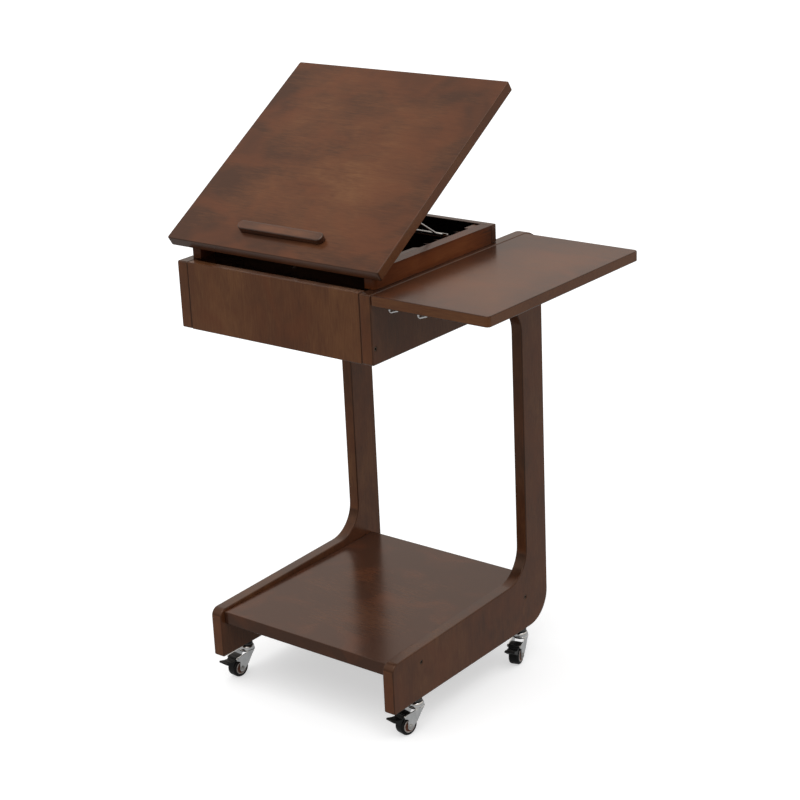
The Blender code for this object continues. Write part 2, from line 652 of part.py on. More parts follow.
def build_board_hinges(root, pivot, finish):
    """Build the two butt hinges: a base on the rail, a leaf under the board and a pin."""
    third = HINGE_WIDTH / 6
    half = HINGE_WIDTH / 2
    base_floor = SEAT_GAP - PIVOT_ABOVE_RAIL
    base_top = base_floor + HINGE_LEAF_THICKNESS
    leaf_floor = base_top + HINGE_LEAF_GAP
    leaf_top = leaf_floor + HINGE_LEAF_THICKNESS
    rear = HINGE_LEAF_START + HINGE_LEAF_LENGTH
    bore = HINGE_PIN_RADIUS + HINGE_PIN_CLEARANCE
    ends = ((-half, -third - HINGE_LEAF_GAP), (third + HINGE_LEAF_GAP, half))
    middle = ((-third, third),)
    for side_name, side in SIDES:
        place = (side * HINGE_X, 0.0, 0.0)
        seat = make_empty(f"board_hinge_seat_{side_name}", root, (side * HINGE_X, PIVOT_Y, PIVOT_Z))
        parts = (
            (f"board_hinge_base_{side_name}", seat, (0.0, 0.0, 0.0), base_floor, base_top, ends),
            (f"board_hinge_leaf_{side_name}", pivot, place, leaf_floor, leaf_top, middle),
        )
        for name, parent, location, floor, top, knuckles in parts:
            plate = slab_mesh((-half, HINGE_LEAF_START, floor), (half, rear, top))
            leaf = add_object(name, plate, parent, finish["steel"], location)
            for number, (low, high) in enumerate(knuckles):
                neck = slab_mesh((low, 0.0, floor), (high, HINGE_LEAF_START + CUT_MARGIN, top))
                barrel = rod_mesh(KNUCKLE_RADIUS, low, high, "X")
                for tool_name, tool in (("neck", neck), ("knuckle", barrel)):
                    join = add_object(f"{name}_{tool_name}_{number}", tool, parent, None, location)
                    add_boolean(leaf, join, "UNION")
            cut_rod(leaf, parent, bore, -half - CUT_MARGIN, half + CUT_MARGIN, "X", location)
        grip = half + SEAT_GAP
        data = headed_pin_mesh(HINGE_PIN_RADIUS, HINGE_PIN_HEAD_RADIUS, HINGE_PIN_HEAD, grip, "X", PIN_FACETS)
        smooth(add_object(f"board_hinge_pin_{side_name}", data, seat, finish["steel"]))


def bail_leg_path():
    """Return the wire's path: down one leg, across the top bar and up the other."""
    spread, bend = BAIL_LEG_SPREAD, BAIL_BEND_RADIUS
    path = [(spread, BAIL_LEG, 0.0)]
    path += [(x, y, 0.0) for x, y in arc_points((spread - bend, bend), bend, 0.0, -90.0)]
    path += [(x, y, 0.0) for x, y in arc_points((bend - spread, bend), bend, -90.0, -180.0)]
    path.append((-spread, BAIL_LEG, 0.0))
    return path


def build_bail(pivot, board_pivot, finish):
    """Build the wire bail, about its top bar, and the two clips that hold that bar."""
    crossbar_half = STRIP_INNER + CROSSBAR_ON_STRIP
    wire = tube_mesh(bail_leg_path(), BAIL_WIRE_RADIUS, WIRE_FACETS)
    bail = add_object("support_bail", wire, pivot, finish["chrome"])
    crossbar = rod_mesh(CROSSBAR_RADIUS, -crossbar_half, crossbar_half, "X", PIN_FACETS)
    tool = add_object("support_bail_crossbar", crossbar, pivot, None, (0.0, BAIL_LEG, 0.0))
    smooth(add_boolean(bail, tool, "UNION"))

    inner = BAIL_WIRE_RADIUS + SEAT_GAP
    outer = inner + CLIP_GAUGE
    tab_top = PIVOT_BELOW_BOARD - SEAT_GAP
    tab_low = tab_top - CLIP_GAUGE
    outline = [(-outer - CLIP_TAB, tab_low), (-outer, tab_low)]
    outline += arc_points((0.0, 0.0), outer, 180.0, 360.0)
    outline += [(outer, tab_low), (outer + CLIP_TAB, tab_low), (outer + CLIP_TAB, tab_top), (inner, tab_top)]
    outline += arc_points((0.0, 0.0), inner, 360.0, 180.0)
    outline += [(-inner, tab_top), (-outer - CLIP_TAB, tab_top)]
    for side_name, side in SIDES:
        middle = side * CLIP_SPREAD
        data = prism_mesh(outline, "X", middle - CLIP_WIDTH / 2, middle + CLIP_WIDTH / 2)
        place = (0.0, BAIL_LEG, 0.0)
        smooth(add_object(f"bail_clip_{side_name}", data, board_pivot, finish["chrome"], place))


def build_leaf(pivot, finish):
    """Build the drop leaf about its bracket axis."""
    low_x = LEAF_INNER - LEAF_PIVOT_X
    high_x = LEAF_OUTER - LEAF_PIVOT_X
    outline = round_outline([
        (low_x, 0.0, FRAME_CORNER_RADIUS), (high_x, 0.0, LEAF_CORNER_RADIUS),
        (high_x, LEAF_REAR, LEAF_CORNER_RADIUS), (low_x, LEAF_REAR, FRAME_CORNER_RADIUS),
    ])
    data = prism_mesh(outline, "Z", LEAF_PIVOT_DROP, LEAF_PIVOT_DROP + LEAF_THICKNESS, WOOD_EASE)
    add_object("drop_leaf", data, pivot, finish["walnut"])
    for place_name, from_panel in HOOK_PLACES:
        x = LEAF_INNER + from_panel - LEAF_PIVOT_X
        build_hook(f"leaf_hook_{place_name}", pivot, finish, (x, HOOK_FROM_FRONT, LEAF_PIVOT_DROP - SEAT_GAP))


def build_hook(name, parent, finish, place):
    """Build a small wire hook that hangs from its flange and opens to the right."""
    rise = math.radians(HOOK_ARM_RISE_DEG)
    bend = arc_points((HOOK_BEND_RADIUS, HOOK_BEND_RADIUS - HOOK_DROP), HOOK_BEND_RADIUS,
                      180.0, 270.0 + HOOK_ARM_RISE_DEG)
    tip_x = bend[-1][0] + HOOK_ARM * math.cos(rise)
    tip_z = bend[-1][1] + HOOK_ARM * math.sin(rise)
    path = [(0.0, 0.0, -HOOK_FLANGE / 2)]
    path += [(x, 0.0, z) for x, z in bend]
    path.append((tip_x, 0.0, tip_z))
    hook = add_object(name, tube_mesh(path, HOOK_WIRE_RADIUS, WIRE_FACETS), parent, finish["chrome"], place)
    flange = rod_mesh(HOOK_FLANGE_RADIUS, -HOOK_FLANGE, 0.0, "Z")
    smooth(add_boolean(hook, add_object(f"{name}_flange", flange, parent, None, place), "UNION"))


def ear_outline(radius, wall_x, wall_low, wall_high):
    """Return a bracket ear in (X, Z): round at the pin and straight where it meets its plate."""
    outline = [(wall_x, wall_low)]
    outline += arc_points((0.0, 0.0), radius, *BRACKET_BASE_EAR_DEG)
    outline.append((wall_x, wall_high))
    return outline


def build_brackets(root, pivot, finish):
    """Build the two folding brackets: a base on the side frame, an arm on the leaf and a pin."""
    bore = BRACKET_PIN_RADIUS + SEAT_GAP
    outer_ear = BRACKET_EAR_SPREAD + BRACKET_GAUGE
    wall = SEAT_GAP - LEAF_PIVOT_OUT
    arm_top = LEAF_PIVOT_DROP - SEAT_GAP
    arm_floor = arm_top - BRACKET_GAUGE
    arm_rear = -BRACKET_ARM_BACK
    arm_ear = BRACKET_EAR_SPREAD - SEAT_GAP
    base_radius = BRACKET_BASE_EAR_RADIUS
    arm_radius = BRACKET_ARM_EAR_RADIUS
    arm_outline = arc_points((0.0, 0.0), arm_radius, *BRACKET_ARM_EAR_DEG)
    arm_outline += [(BRACKET_ARM_TAPER, arm_floor), (BRACKET_ARM_TAPER, arm_top), (arm_rear, arm_top)]
    for place_name, from_rear in BRACKETS_FROM_LEAF_REAR:
        bracket_y = LEAF_REAR - from_rear
        place = (0.0, bracket_y, 0.0)
        seat = make_empty(f"leaf_bracket_seat_{place_name}", root, (LEAF_PIVOT_X, bracket_y, LEAF_PIVOT_Z))

        name = f"leaf_bracket_base_{place_name}"
        low = (wall, -BRACKET_HALF_WIDTH, base_radius - BRACKET_BASE_LENGTH)
        high = (wall + BRACKET_GAUGE, BRACKET_HALF_WIDTH, base_radius)
        base = add_object(name, slab_mesh(low, high), seat, finish["steel"])
        ear_foot = base_radius - BRACKET_EAR_LENGTH
        outline = ear_outline(base_radius, wall + BRACKET_GAUGE / 2, ear_foot, base_radius)
        for side_name, side in SIDES:
            low_y, high_y = sorted((side * BRACKET_EAR_SPREAD, side * outer_ear))
            ear = prism_mesh(outline, "Y", low_y, high_y)
            add_boolean(base, add_object(f"{name}_ear_{side_name}", ear, seat), "UNION")
        cut_rod(base, seat, bore, -outer_ear - CUT_MARGIN, outer_ear + CUT_MARGIN, "Y", (0.0, 0.0, 0.0))

        name = f"leaf_bracket_arm_{place_name}"
        low = (arm_rear, -BRACKET_HALF_WIDTH, arm_floor)
        high = (arm_rear + BRACKET_ARM_LENGTH, BRACKET_HALF_WIDTH, arm_top)
        arm = add_object(name, slab_mesh(low, high), pivot, finish["steel"], place)
        for side_name, side in SIDES:
            low_y, high_y = sorted((side * (arm_ear - BRACKET_GAUGE), side * arm_ear))
            ear = prism_mesh(arm_outline, "Y", low_y, high_y)
            add_boolean(arm, add_object(f"{name}_ear_{side_name}", ear, pivot, None, place), "UNION")
        cut_rod(arm, pivot, bore, -arm_ear - CUT_MARGIN, arm_ear + CUT_MARGIN, "Y", place)

        grip = outer_ear + SEAT_GAP
        data = headed_pin_mesh(BRACKET_PIN_RADIUS, BRACKET_PIN_HEAD_RADIUS, BRACKET_PIN_HEAD, grip, "Y", PIN_FACETS)
        smooth(add_object(f"leaf_bracket_pin_{place_name}", data, seat, finish["steel"]))


def build_caster_stem(name, parent, finish):
    """Turn the fixed stem: threaded end, flange, kingpin and riveted head."""
    head_top = FORK_HEAD_BOTTOM - SEAT_GAP
    head_low = head_top - KINGPIN_HEAD
    top = RAIL_BOTTOM + STEM_LENGTH
    profile = [
        (0.0, head_low), (KINGPIN_HEAD_RADIUS, head_low), (KINGPIN_HEAD_RADIUS, head_top),
        (KINGPIN_RADIUS, head_top), (KINGPIN_RADIUS, STEM_FLANGE_BOTTOM),
        (STEM_FLANGE_RADIUS, STEM_FLANGE_BOTTOM), (STEM_FLANGE_RADIUS, STEM_FLANGE_TOP),
        (STEM_RADIUS, STEM_FLANGE_TOP), (STEM_RADIUS, top), (0.0, top),
    ]
    smooth(add_object(name, lathe_mesh(profile, STEM_FACETS), parent, finish["chrome"]))


def pedal_point(angle_deg, radius):
    """Return a point (Y, Z) at an angle above the front of the wheel, about the axle."""
    angle = math.radians(angle_deg)
    return (-CASTER_TRAIL - radius * math.cos(angle), AXLE_Z + radius * math.sin(angle))


def pedal_pivot():
    """Return the pedal's axis in (Y, Z), half way through the hood."""
    return pedal_point(PEDAL_PIVOT_DEG, PEDAL_INNER_RADIUS + PEDAL_THICKNESS / 2)


def build_caster_fork(name, parent, finish):
    """Build the swivel fork: a domed head and two cheeks, each with an ear for the pedal's pin."""
    bore = KINGPIN_RADIUS + SEAT_GAP
    rim = CHEEK_OUTER + FORK_HEAD_LIP
    skirt = FORK_HEAD_BOTTOM + FORK_HEAD_SKIRT
    head = [
        (bore, FORK_HEAD_BOTTOM), (rim, FORK_HEAD_BOTTOM), (rim, skirt),
        (rim - FORK_HEAD_TAPER, FORK_TOP), (bore, FORK_TOP),
    ]
    fork = add_object(name, lathe_mesh(head, FORK_HEAD_FACETS, closed=True), parent, finish["chrome"])
    axle = (-CASTER_TRAIL, AXLE_Z)
    cheek_top = FORK_HEAD_BOTTOM + FORK_HEAD_SKIRT / 2
    outline = [(FORK_CHEEK_REAR, FORK_HEAD_BOTTOM), (FORK_CHEEK_REAR, cheek_top)]
    outline += [(axle[0], cheek_top)]
    outline += arc_points(pedal_pivot(), FORK_PEDAL_EAR, *FORK_PEDAL_EAR_DEG)
    outline.append((axle[0] + FORK_WAIST[0], axle[1] + FORK_WAIST[1]))
    outline += arc_points(axle, FORK_AXLE_BOSS, *FORK_AXLE_BOSS_DEG)
    outline += [(axle[0] + behind, axle[1] + up) for behind, up in FORK_CHEEK_BACK]
    for side_name, side in SIDES:
        low, high = sorted((side * CHEEK_INNER, side * CHEEK_OUTER))
        cheek = prism_mesh(outline, "X", low, high)
        add_boolean(fork, add_object(f"{name}_cheek_{side_name}", cheek, parent), "UNION")
    reach = CHEEK_OUTER + CUT_MARGIN
    cut_rod(fork, parent, AXLE_RADIUS + AXLE_CLEARANCE, -reach, reach, "X", (0.0, *axle))
    cut_rod(fork, parent, PEDAL_PIN_RADIUS + SEAT_GAP, -reach, reach, "X", (0.0, *pedal_pivot()))
    smooth(fork)


def build_caster_wheel(name, parent, finish):
    """Turn the hub and the tyre about the axle."""
    half = WHEEL_HALF_WIDTH
    shoulder = half - TYRE_SHOULDER
    tyre = [
        (TYRE_BORE, -half), (WHEEL_RADIUS - TYRE_SHOULDER, -half), (WHEEL_RADIUS, -shoulder),
        (WHEEL_RADIUS, shoulder), (WHEEL_RADIUS - TYRE_SHOULDER, half), (TYRE_BORE, half),
    ]
    facet_deg = 360.0 / WHEEL_FACETS
    data = lathe_mesh(tyre, WHEEL_FACETS, "X", closed=True, start_deg=facet_deg / 2)
    smooth(add_object(f"{name}_tyre", data, parent, finish["rubber"]))

    bore = AXLE_RADIUS + AXLE_CLEARANCE
    rim = TYRE_BORE - SEAT_GAP
    boss = half + HUB_BOSS_STEP
    web = half - HUB_RECESS
    face = [(bore, boss), (HUB_BOSS_RADIUS, boss), (HUB_BOSS_RADIUS, web), (rim - HUB_RIM, web),
            (rim - HUB_RIM, half), (rim, half)]
    profile = face + [(radius, -height) for radius, height in reversed(face)]
    data = lathe_mesh(profile, HUB_FACETS, "X", closed=True)
    smooth(add_object(f"{name}_hub", data, parent, finish["hub"]))


def build_caster_pedal(name, parent, finish):
    """Build the brake pedal: a hood over the tyre, a tongue to step on and two pivot pins."""
    pivot_y, pivot_z = pedal_pivot()
    low_deg, high_deg = PEDAL_HOOD_DEG
    hood = []
    steps = math.ceil((high_deg - low_deg) / ARC_STEP_DEG)
    for index in range(steps + 1):
        hood.append(pedal_point(low_deg + (high_deg - low_deg) * index / steps, PEDAL_INNER_RADIUS))
    top_steps = math.ceil((high_deg - PEDAL_TONGUE_DEG) / ARC_STEP_DEG)
    for index in range(top_steps + 1):
        angle = high_deg - (high_deg - PEDAL_TONGUE_DEG) * index / top_steps
        hood.append(pedal_point(angle, PEDAL_OUTER_RADIUS))
    tip = pedal_point(PEDAL_TIP_DEG, PEDAL_OUTER_RADIUS + PEDAL_TONGUE_REACH)
    hood.append((tip[0], tip[1] + PEDAL_TONGUE_TIP))
    hood.append(tip)
    hood.append(pedal_point(low_deg, PEDAL_OUTER_RADIUS))
    outline = [(y - pivot_y, z - pivot_z) for y, z in hood]
    half = PEDAL_HALF_WIDTH
    pedal = add_object(name, prism_mesh(outline, "X", -half, half), parent, finish["plastic"])
    lobe = rod_mesh(PEDAL_PIVOT_LOBE, -half, half, "X")
    pin = rod_mesh(PEDAL_PIN_RADIUS, -CHEEK_OUTER, CHEEK_OUTER, "X", PIN_FACETS)
    add_boolean(pedal, add_object(f"{name}_lobe", lobe, parent), "UNION")
    add_boolean(pedal, add_object(f"{name}_pin", pin, parent), "UNION")


def build_casters(root, finish):
    """Build the four casters, each turned to its own heading about its stem."""
    for corner, (x, y) in CASTER_PLACES.items():
        name = f"caster_{corner}"
        stem = make_empty(f"{name}_seat", root, (x, y, 0.0))
        build_caster_stem(f"{name}_stem", stem, finish)
        heading = math.radians(-CASTER_HEADINGS_DEG[corner])
        swivel = make_empty(f"{name}_swivel", stem, rotation=(0.0, 0.0, heading))
        build_caster_fork(f"{name}_fork", swivel, finish)
        axle = make_empty(f"{name}_axis", swivel, (0.0, -CASTER_TRAIL, AXLE_Z))
        grip = CHEEK_OUTER + SEAT_GAP
        data = headed_pin_mesh(AXLE_RADIUS, AXLE_HEAD_RADIUS, AXLE_HEAD, grip, "X", PIN_FACETS)
        smooth(add_object(f"{name}_axle", data, axle, finish["steel"]))
        build_caster_wheel(name, axle, finish)
        pedal = make_empty(f"{name}_pedal_axis", swivel, (0.0, *pedal_pivot()))
        build_caster_pedal(f"{name}_pedal", pedal, finish)


def centre_on_footprint(root):
    """Move the root so that the origin is under the middle of the whole table."""
    bpy.context.view_layer.update()
    graph = bpy.context.evaluated_depsgraph_get()
    low = Vector((math.inf, math.inf, math.inf))
    high = -low
    for item in bpy.data.objects:
        if item.type != "MESH" or item.hide_render:
            continue
        evaluated = item.evaluated_get(graph)
        for vertex in evaluated.data.vertices:
            place = evaluated.matrix_world @ vertex.co
            low = Vector(map(min, low, place))
            high = Vector(map(max, high, place))
    root.location = (-(low.x + high.x) / 2, -(low.y + high.y) / 2, -low.z)
    bpy.context.view_layer.update()
    print("footprint centre in the table's own frame, mm:", [round(-v / MM, 4) for v in root.location])


def main():
    """Build the whole table."""
    clear_scene()
    finish = make_materials()
    root = make_empty("table_root", None)
    build_side_frames(root, finish)
    build_shelf(root, finish)
    build_box(root, finish)
    build_ratchet_frame(root, finish)
    board_pivot = make_empty("board_pivot", root, (0.0, PIVOT_Y, PIVOT_Z), (TILT, 0.0, 0.0))
    build_board(board_pivot, finish)
    build_board_hinges(root, board_pivot, finish)
    bail_pivot = make_empty("bail_pivot", board_pivot, (0.0, BAIL_LEG, 0.0), (-2 * TILT, 0.0, 0.0))
    build_bail(bail_pivot, board_pivot, finish)
    leaf_pivot = make_empty("leaf_pivot", root, (LEAF_PIVOT_X, 0.0, LEAF_PIVOT_Z))
    build_leaf(leaf_pivot, finish)
    build_brackets(root, leaf_pivot, finish)
    build_casters(root, finish)
    centre_on_footprint(root)


main()
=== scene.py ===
"""The looks of a c-shaped end table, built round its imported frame.

Every piece is drawn in millimetres in the frame of the body that carries it and takes
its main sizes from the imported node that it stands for. It is moved to the row frame
once it is whole. Wood carries its grain as an attribute, so that each board keeps the
figure of the plank it was cut from.
"""

import json
import logging
import math
from collections.abc import Callable, Iterable, Sequence
from dataclasses import dataclass, field
from enum import Enum

import bmesh
import bpy
from mathutils import Matrix, Vector

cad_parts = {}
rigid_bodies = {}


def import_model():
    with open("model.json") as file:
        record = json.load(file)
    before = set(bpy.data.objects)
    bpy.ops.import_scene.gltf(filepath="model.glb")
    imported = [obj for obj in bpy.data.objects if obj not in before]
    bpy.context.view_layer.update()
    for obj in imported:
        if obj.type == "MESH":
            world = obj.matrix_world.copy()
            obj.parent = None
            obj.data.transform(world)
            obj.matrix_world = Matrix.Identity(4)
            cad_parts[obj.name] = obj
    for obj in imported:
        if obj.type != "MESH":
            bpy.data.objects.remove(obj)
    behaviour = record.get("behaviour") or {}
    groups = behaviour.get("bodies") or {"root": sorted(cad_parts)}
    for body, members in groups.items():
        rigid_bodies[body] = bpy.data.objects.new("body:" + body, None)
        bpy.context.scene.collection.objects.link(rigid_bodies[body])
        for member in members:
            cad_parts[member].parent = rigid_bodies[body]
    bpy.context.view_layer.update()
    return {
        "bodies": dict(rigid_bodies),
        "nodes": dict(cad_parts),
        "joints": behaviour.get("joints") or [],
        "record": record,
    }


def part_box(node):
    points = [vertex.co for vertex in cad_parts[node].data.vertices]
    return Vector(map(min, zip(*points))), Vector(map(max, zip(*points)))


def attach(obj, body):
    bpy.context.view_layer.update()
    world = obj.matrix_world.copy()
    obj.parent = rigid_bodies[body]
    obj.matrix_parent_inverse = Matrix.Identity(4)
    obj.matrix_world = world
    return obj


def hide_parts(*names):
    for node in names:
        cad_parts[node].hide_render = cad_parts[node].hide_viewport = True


LOG = logging.getLogger("end_table")

MM = 0.001

# Types of node sockets
FLOAT = "NodeSocketFloat"
GEOMETRY = "NodeSocketGeometry"
INTEGER = "NodeSocketInt"
MATERIAL = "NodeSocketMaterial"
OBJECT = "NodeSocketObject"
VECTOR = "NodeSocketVector"

# How far apart two boards lie in the wood they are cut from, in metres
PLANK_STEP = Vector((1.37, 0.73, 0.41))

# How shapes are cut, cleaned and rounded, in millimetres and degrees
CUT_MARGIN = 1.0
MERGE_DISTANCE = 0.001
FLAT_DEG = 0.4
ARRIS_STEPS = 2
ARRIS_DEG = 35.0
ROUND_STEPS = 32
WIRE_SIDES = 20
WIRE_TIP_DEG = (0.0, 25.0, 50.0, 70.0, 84.0)

# Points over a pin's domed head, as parts of its radius and of its thickness
PIN_DOME = ((0.55, 0.0), (0.9, 0.35))

# The part of a normal along an axis, where a face looks along it and where it lies along it
FACING = 0.9
EDGE_ON = 0.1

Colour = tuple[float, float, float]
Pair = tuple[float, float]
Triple = tuple[float, float, float]
Shape = bmesh.types.BMesh
Tree = bpy.types.NodeTree
Socket = bpy.types.NodeSocket
Sockets = bpy.types.bpy_prop_collection


class Axis(Enum):
    """An axis of a piece's own frame."""

    X = 0
    Y = 1
    Z = 2


class Side(Enum):
    """A side of the table seen from the front, with its sign along X."""

    LEFT = -1
    RIGHT = 1

    @property
    def word(self) -> str:
        """Return the side as it stands in a node's name."""
        return self.name.lower()

    def span(self, near: float, far: float) -> list[float]:
        """Return two distances from the middle as a low and a high place on this side."""
        return sorted((self.value * near, self.value * far))


class Corner(Enum):
    """A corner of the table, as it stands in a caster's node names."""

    FRONT_LEFT = "fl"
    FRONT_RIGHT = "fr"
    REAR_LEFT = "rl"
    REAR_RIGHT = "rr"


class HingePlate(Enum):
    """A plate of a butt hinge, as it stands in its node's name."""

    BASE = "base"
    LEAF = "leaf"


class Head(Enum):
    """A kind of fastener head, as it stands in the name of its piece."""

    BOLT = "bolt"
    SCREW = "screw"
    FLUSH_SCREW = "flush_screw"


# Drawing in millimetres


def arc(
        centre: Sequence[float], radius: float, start_deg: float, end_deg: float,
        step_deg: float = 5.0) -> list[Pair]:
    """Draw an arc as points.

    Args:
        centre: The arc's centre.
        radius: Its radius.
        start_deg: The angle of its first point.
        end_deg: The angle of its last point.
        step_deg: The widest angle between two points.

    Returns:
        The points, both ends included.
    """
    steps = max(2, math.ceil(abs(end_deg - start_deg) / step_deg))
    points = []
    for index in range(steps + 1):
        angle = math.radians(start_deg + (end_deg - start_deg) * index / steps)
        points.append((centre[0] + radius * math.cos(angle), centre[1] + radius * math.sin(angle)))
    return points


def rounded(corners: Sequence[Triple]) -> list[Pair]:
    """Draw a closed outline with rounded corners.

    Args:
        corners: Each corner as (across, up, radius), with radius 0 for a sharp one.

    Returns:
        The outline's points.
    """
    outline = []
    for index, (across, up, radius) in enumerate(corners):
        here = Vector((across, up))
        if radius <= 0.0:
            outline.append((across, up))
            continue
        before = (Vector(corners[index - 1][:2]) - here).normalized()
        after = (Vector(corners[(index + 1) % len(corners)][:2]) - here).normalized()
        half_angle = before.angle(after) / 2
        centre = here + (before + after).normalized() * (radius / math.sin(half_angle))
        first = here + before * (radius / math.tan(half_angle)) - centre
        last = here + after * (radius / math.tan(half_angle)) - centre
        start_deg = math.degrees(math.atan2(first.y, first.x))
        sweep_deg = math.degrees(math.atan2(last.y, last.x)) - start_deg
        sweep_deg = (sweep_deg + 180.0) % 360.0 - 180.0
        outline.extend(arc(centre, radius, start_deg, start_deg + sweep_deg))
    return outline


def mirrored(half: Sequence[Pair]) -> list[Pair]:
    """Complete a turned profile that is alike at both ends, from the points (radius, height) of one end."""
    return [*half, *((radius, -height) for radius, height in reversed(half))]


def prism(outline: Sequence[Pair], axis: Axis, low: float, high: float) -> Shape:
    """Extrude an outline along an axis.

    Args:
        outline: Points as (Y, Z) for X, (X, Z) for Y or (X, Y) for Z.
        axis: The axis to extrude along.
        low: Where the solid starts on that axis.
        high: Where it ends.

    Returns:
        The closed solid.
    """
    shape = bmesh.new()
    rings = []
    for level in (low, high):
        places = [list(point) for point in outline]
        for place in places:
            place.insert(axis.value, level)
        rings.append([shape.verts.new(place) for place in places])
    for ring in rings:
        shape.faces.new(ring)
    count = len(outline)
    for index in range(count):
        following = (index + 1) % count
        shape.faces.new((rings[0][index], rings[0][following], rings[1][following], rings[1][index]))
    bmesh.ops.recalc_face_normals(shape, faces=shape.faces)
    return shape


def block(low: Sequence[float], high: Sequence[float]) -> Shape:
    """Draw a plain block between two corners, as stock for further work."""
    outline = [(low[0], low[1]), (high[0], low[1]), (high[0], high[1]), (low[0], high[1])]
    return prism(outline, Axis.Z, low[2], high[2])


def turned(profile: Sequence[Pair], steps: int, axis: Axis = Axis.Z, ring: bool = False) -> Shape:
    """Turn a profile about an axis.

    Args:
        profile: Points as (radius, height). An open profile starts and ends on the axis.
        steps: Facets round the axis.
        axis: The axis to turn about.
        ring: True if the profile closes on itself, away from the axis.

    Returns:
        The closed solid.
    """
    shape = bmesh.new()
    rings = []
    for radius, height in profile:
        count = 1 if radius == 0.0 else steps
        angles = [2 * math.pi * index / steps for index in range(count)]
        rings.append([shape.verts.new((radius * math.cos(a), radius * math.sin(a), height)) for a in angles])
    pairs = list(zip(rings, rings[1:]))
    if ring:
        pairs.append((rings[-1], rings[0]))
    for lower, upper in pairs:
        for index in range(steps):
            following = (index + 1) % steps
            around = [lower[index % len(lower)], lower[following % len(lower)]]
            around += [upper[following % len(upper)], upper[index % len(upper)]]
            shape.faces.new(list(dict.fromkeys(around)))
    if axis is Axis.X:
        bmesh.ops.rotate(shape, matrix=Matrix.Rotation(math.pi / 2, 3, "Y"), verts=shape.verts)
    if axis is Axis.Y:
        bmesh.ops.rotate(shape, matrix=Matrix.Rotation(-math.pi / 2, 3, "X"), verts=shape.verts)
    bmesh.ops.recalc_face_normals(shape, faces=shape.faces)
    return shape


def rod(
        radius: float, low: float, high: float, axis: Axis, centre: Triple = (0.0, 0.0, 0.0),
        steps: int = ROUND_STEPS) -> Shape:
    """Draw a round rod along an axis, about a centre."""
    shape = turned([(0.0, low), (radius, low), (radius, high), (0.0, high)], steps, axis)
    return moved(shape, centre)


def moved(shape: Shape, offset: Sequence[float]) -> Shape:
    """Shift a shape and hand it back."""
    bmesh.ops.translate(shape, vec=Vector(offset), verts=shape.verts)
    return shape


def loose_object(name: str, mesh: bpy.types.Mesh) -> bpy.types.Object:
    """Link a mesh to the scene as a plain object at the origin."""
    item = bpy.data.objects.new(name, mesh)
    bpy.context.scene.collection.objects.link(item)
    return item


def shape_object(name: str, shape: Shape) -> bpy.types.Object:
    """Write a shape to a plain object and free it.

    Args:
        name: The object's name.
        shape: The shape.

    Returns:
        The object, at the origin.
    """
    mesh = bpy.data.meshes.new(name)
    shape.to_mesh(mesh)
    shape.free()
    return loose_object(name, mesh)


def settled(item: bpy.types.Object) -> Shape:
    """Apply an object's modifiers and remove the object.

    Args:
        item: The object.

    Returns:
        The shape that its modifiers make.
    """
    graph = bpy.context.evaluated_depsgraph_get()
    shape = bmesh.new()
    shape.from_mesh(bpy.data.meshes.new_from_object(item.evaluated_get(graph), depsgraph=graph))
    bpy.data.objects.remove(item, do_unlink=True)
    return shape


def cleaned(shape: Shape) -> Shape:
    """Merge a shape's doubled points, clear its flat faces of spare edges and hand it back."""
    bmesh.ops.remove_doubles(shape, verts=shape.verts, dist=MERGE_DISTANCE)
    bmesh.ops.dissolve_limit(shape, angle_limit=math.radians(FLAT_DEG), verts=shape.verts, edges=shape.edges)
    return shape


def carve(stock: Shape, joins: Iterable[Shape] = (), cuts: Iterable[Shape] = ()) -> Shape:
    """Join shapes to a piece and cut others out of it.

    Args:
        stock: The piece.
        joins: Shapes to add to it.
        cuts: Shapes to take away from it.

    Returns:
        The worked piece, with the flat faces cleaned of spare edges.
    """
    item = shape_object("stock", stock)
    tools = []
    for operation, shapes in (("UNION", joins), ("DIFFERENCE", cuts)):
        for shape in shapes:
            tools.append(shape_object("tool", shape))
            modifier = item.modifiers.new(operation.lower(), "BOOLEAN")
            modifier.operation = operation
            modifier.object = tools[-1]
    worked = settled(item)
    for tool in tools:
        bpy.data.objects.remove(tool, do_unlink=True)
    return cleaned(worked)


def ease(shape: Shape, width: float, steps: int = 3, least_deg: float = 32.0) -> Shape:
    """Round the sharp edges of a shape over and mark them as arrises.

    Args:
        shape: The piece.
        width: How far back from the edge the rounding starts.
        steps: Facets across the rounding.
        least_deg: The bluntest edge that is left as it is.

    Returns:
        The same shape.
    """
    sharp = [edge for edge in shape.edges if edge.calc_face_angle(0.0) > math.radians(least_deg)]
    made = bmesh.ops.bevel(
        shape, geom=sharp, offset=width, segments=steps, profile=0.5, affect="EDGES", clamp_overlap=True)
    layer = shape.verts.layers.float.new("arris")
    eased = set(made["faces"])
    for vertex in shape.verts:
        if all(face in eased for face in vertex.link_faces):
            vertex[layer] = 1.0
    return shape


def mark(shape: Shape, layer: str, amount: float, where: Callable[[Vector], bool] | None = None) -> Shape:
    """Write an amount to a layer of a shape's points.

    Args:
        shape: The shape, with its edges eased.
        layer: The layer: stain for its depth, which some pieces also use for painted light and shade on
            chosen faces, calm for an even figure, arris for dark lacquered edges, or inside for painted shade
            that darkens the inner faces of the box almost to nothing.
        amount: The amount to write.
        where: A test of a face's normal, or none to mark the whole shape.

    Returns:
        The same shape.
    """
    points = shape.verts.layers.float
    store = points.get(layer) or points.new(layer)
    shape.normal_update()
    for face in shape.faces:
        if where is None or where(face.normal):
            for vertex in face.verts:
                vertex[store] = amount
    return shape


# Node trees


@dataclass(frozen=True)
class Noise:
    """A noise over a vector, with a scale for each axis."""

    scale: Triple
    detail: float
    distortion: float = 0.0


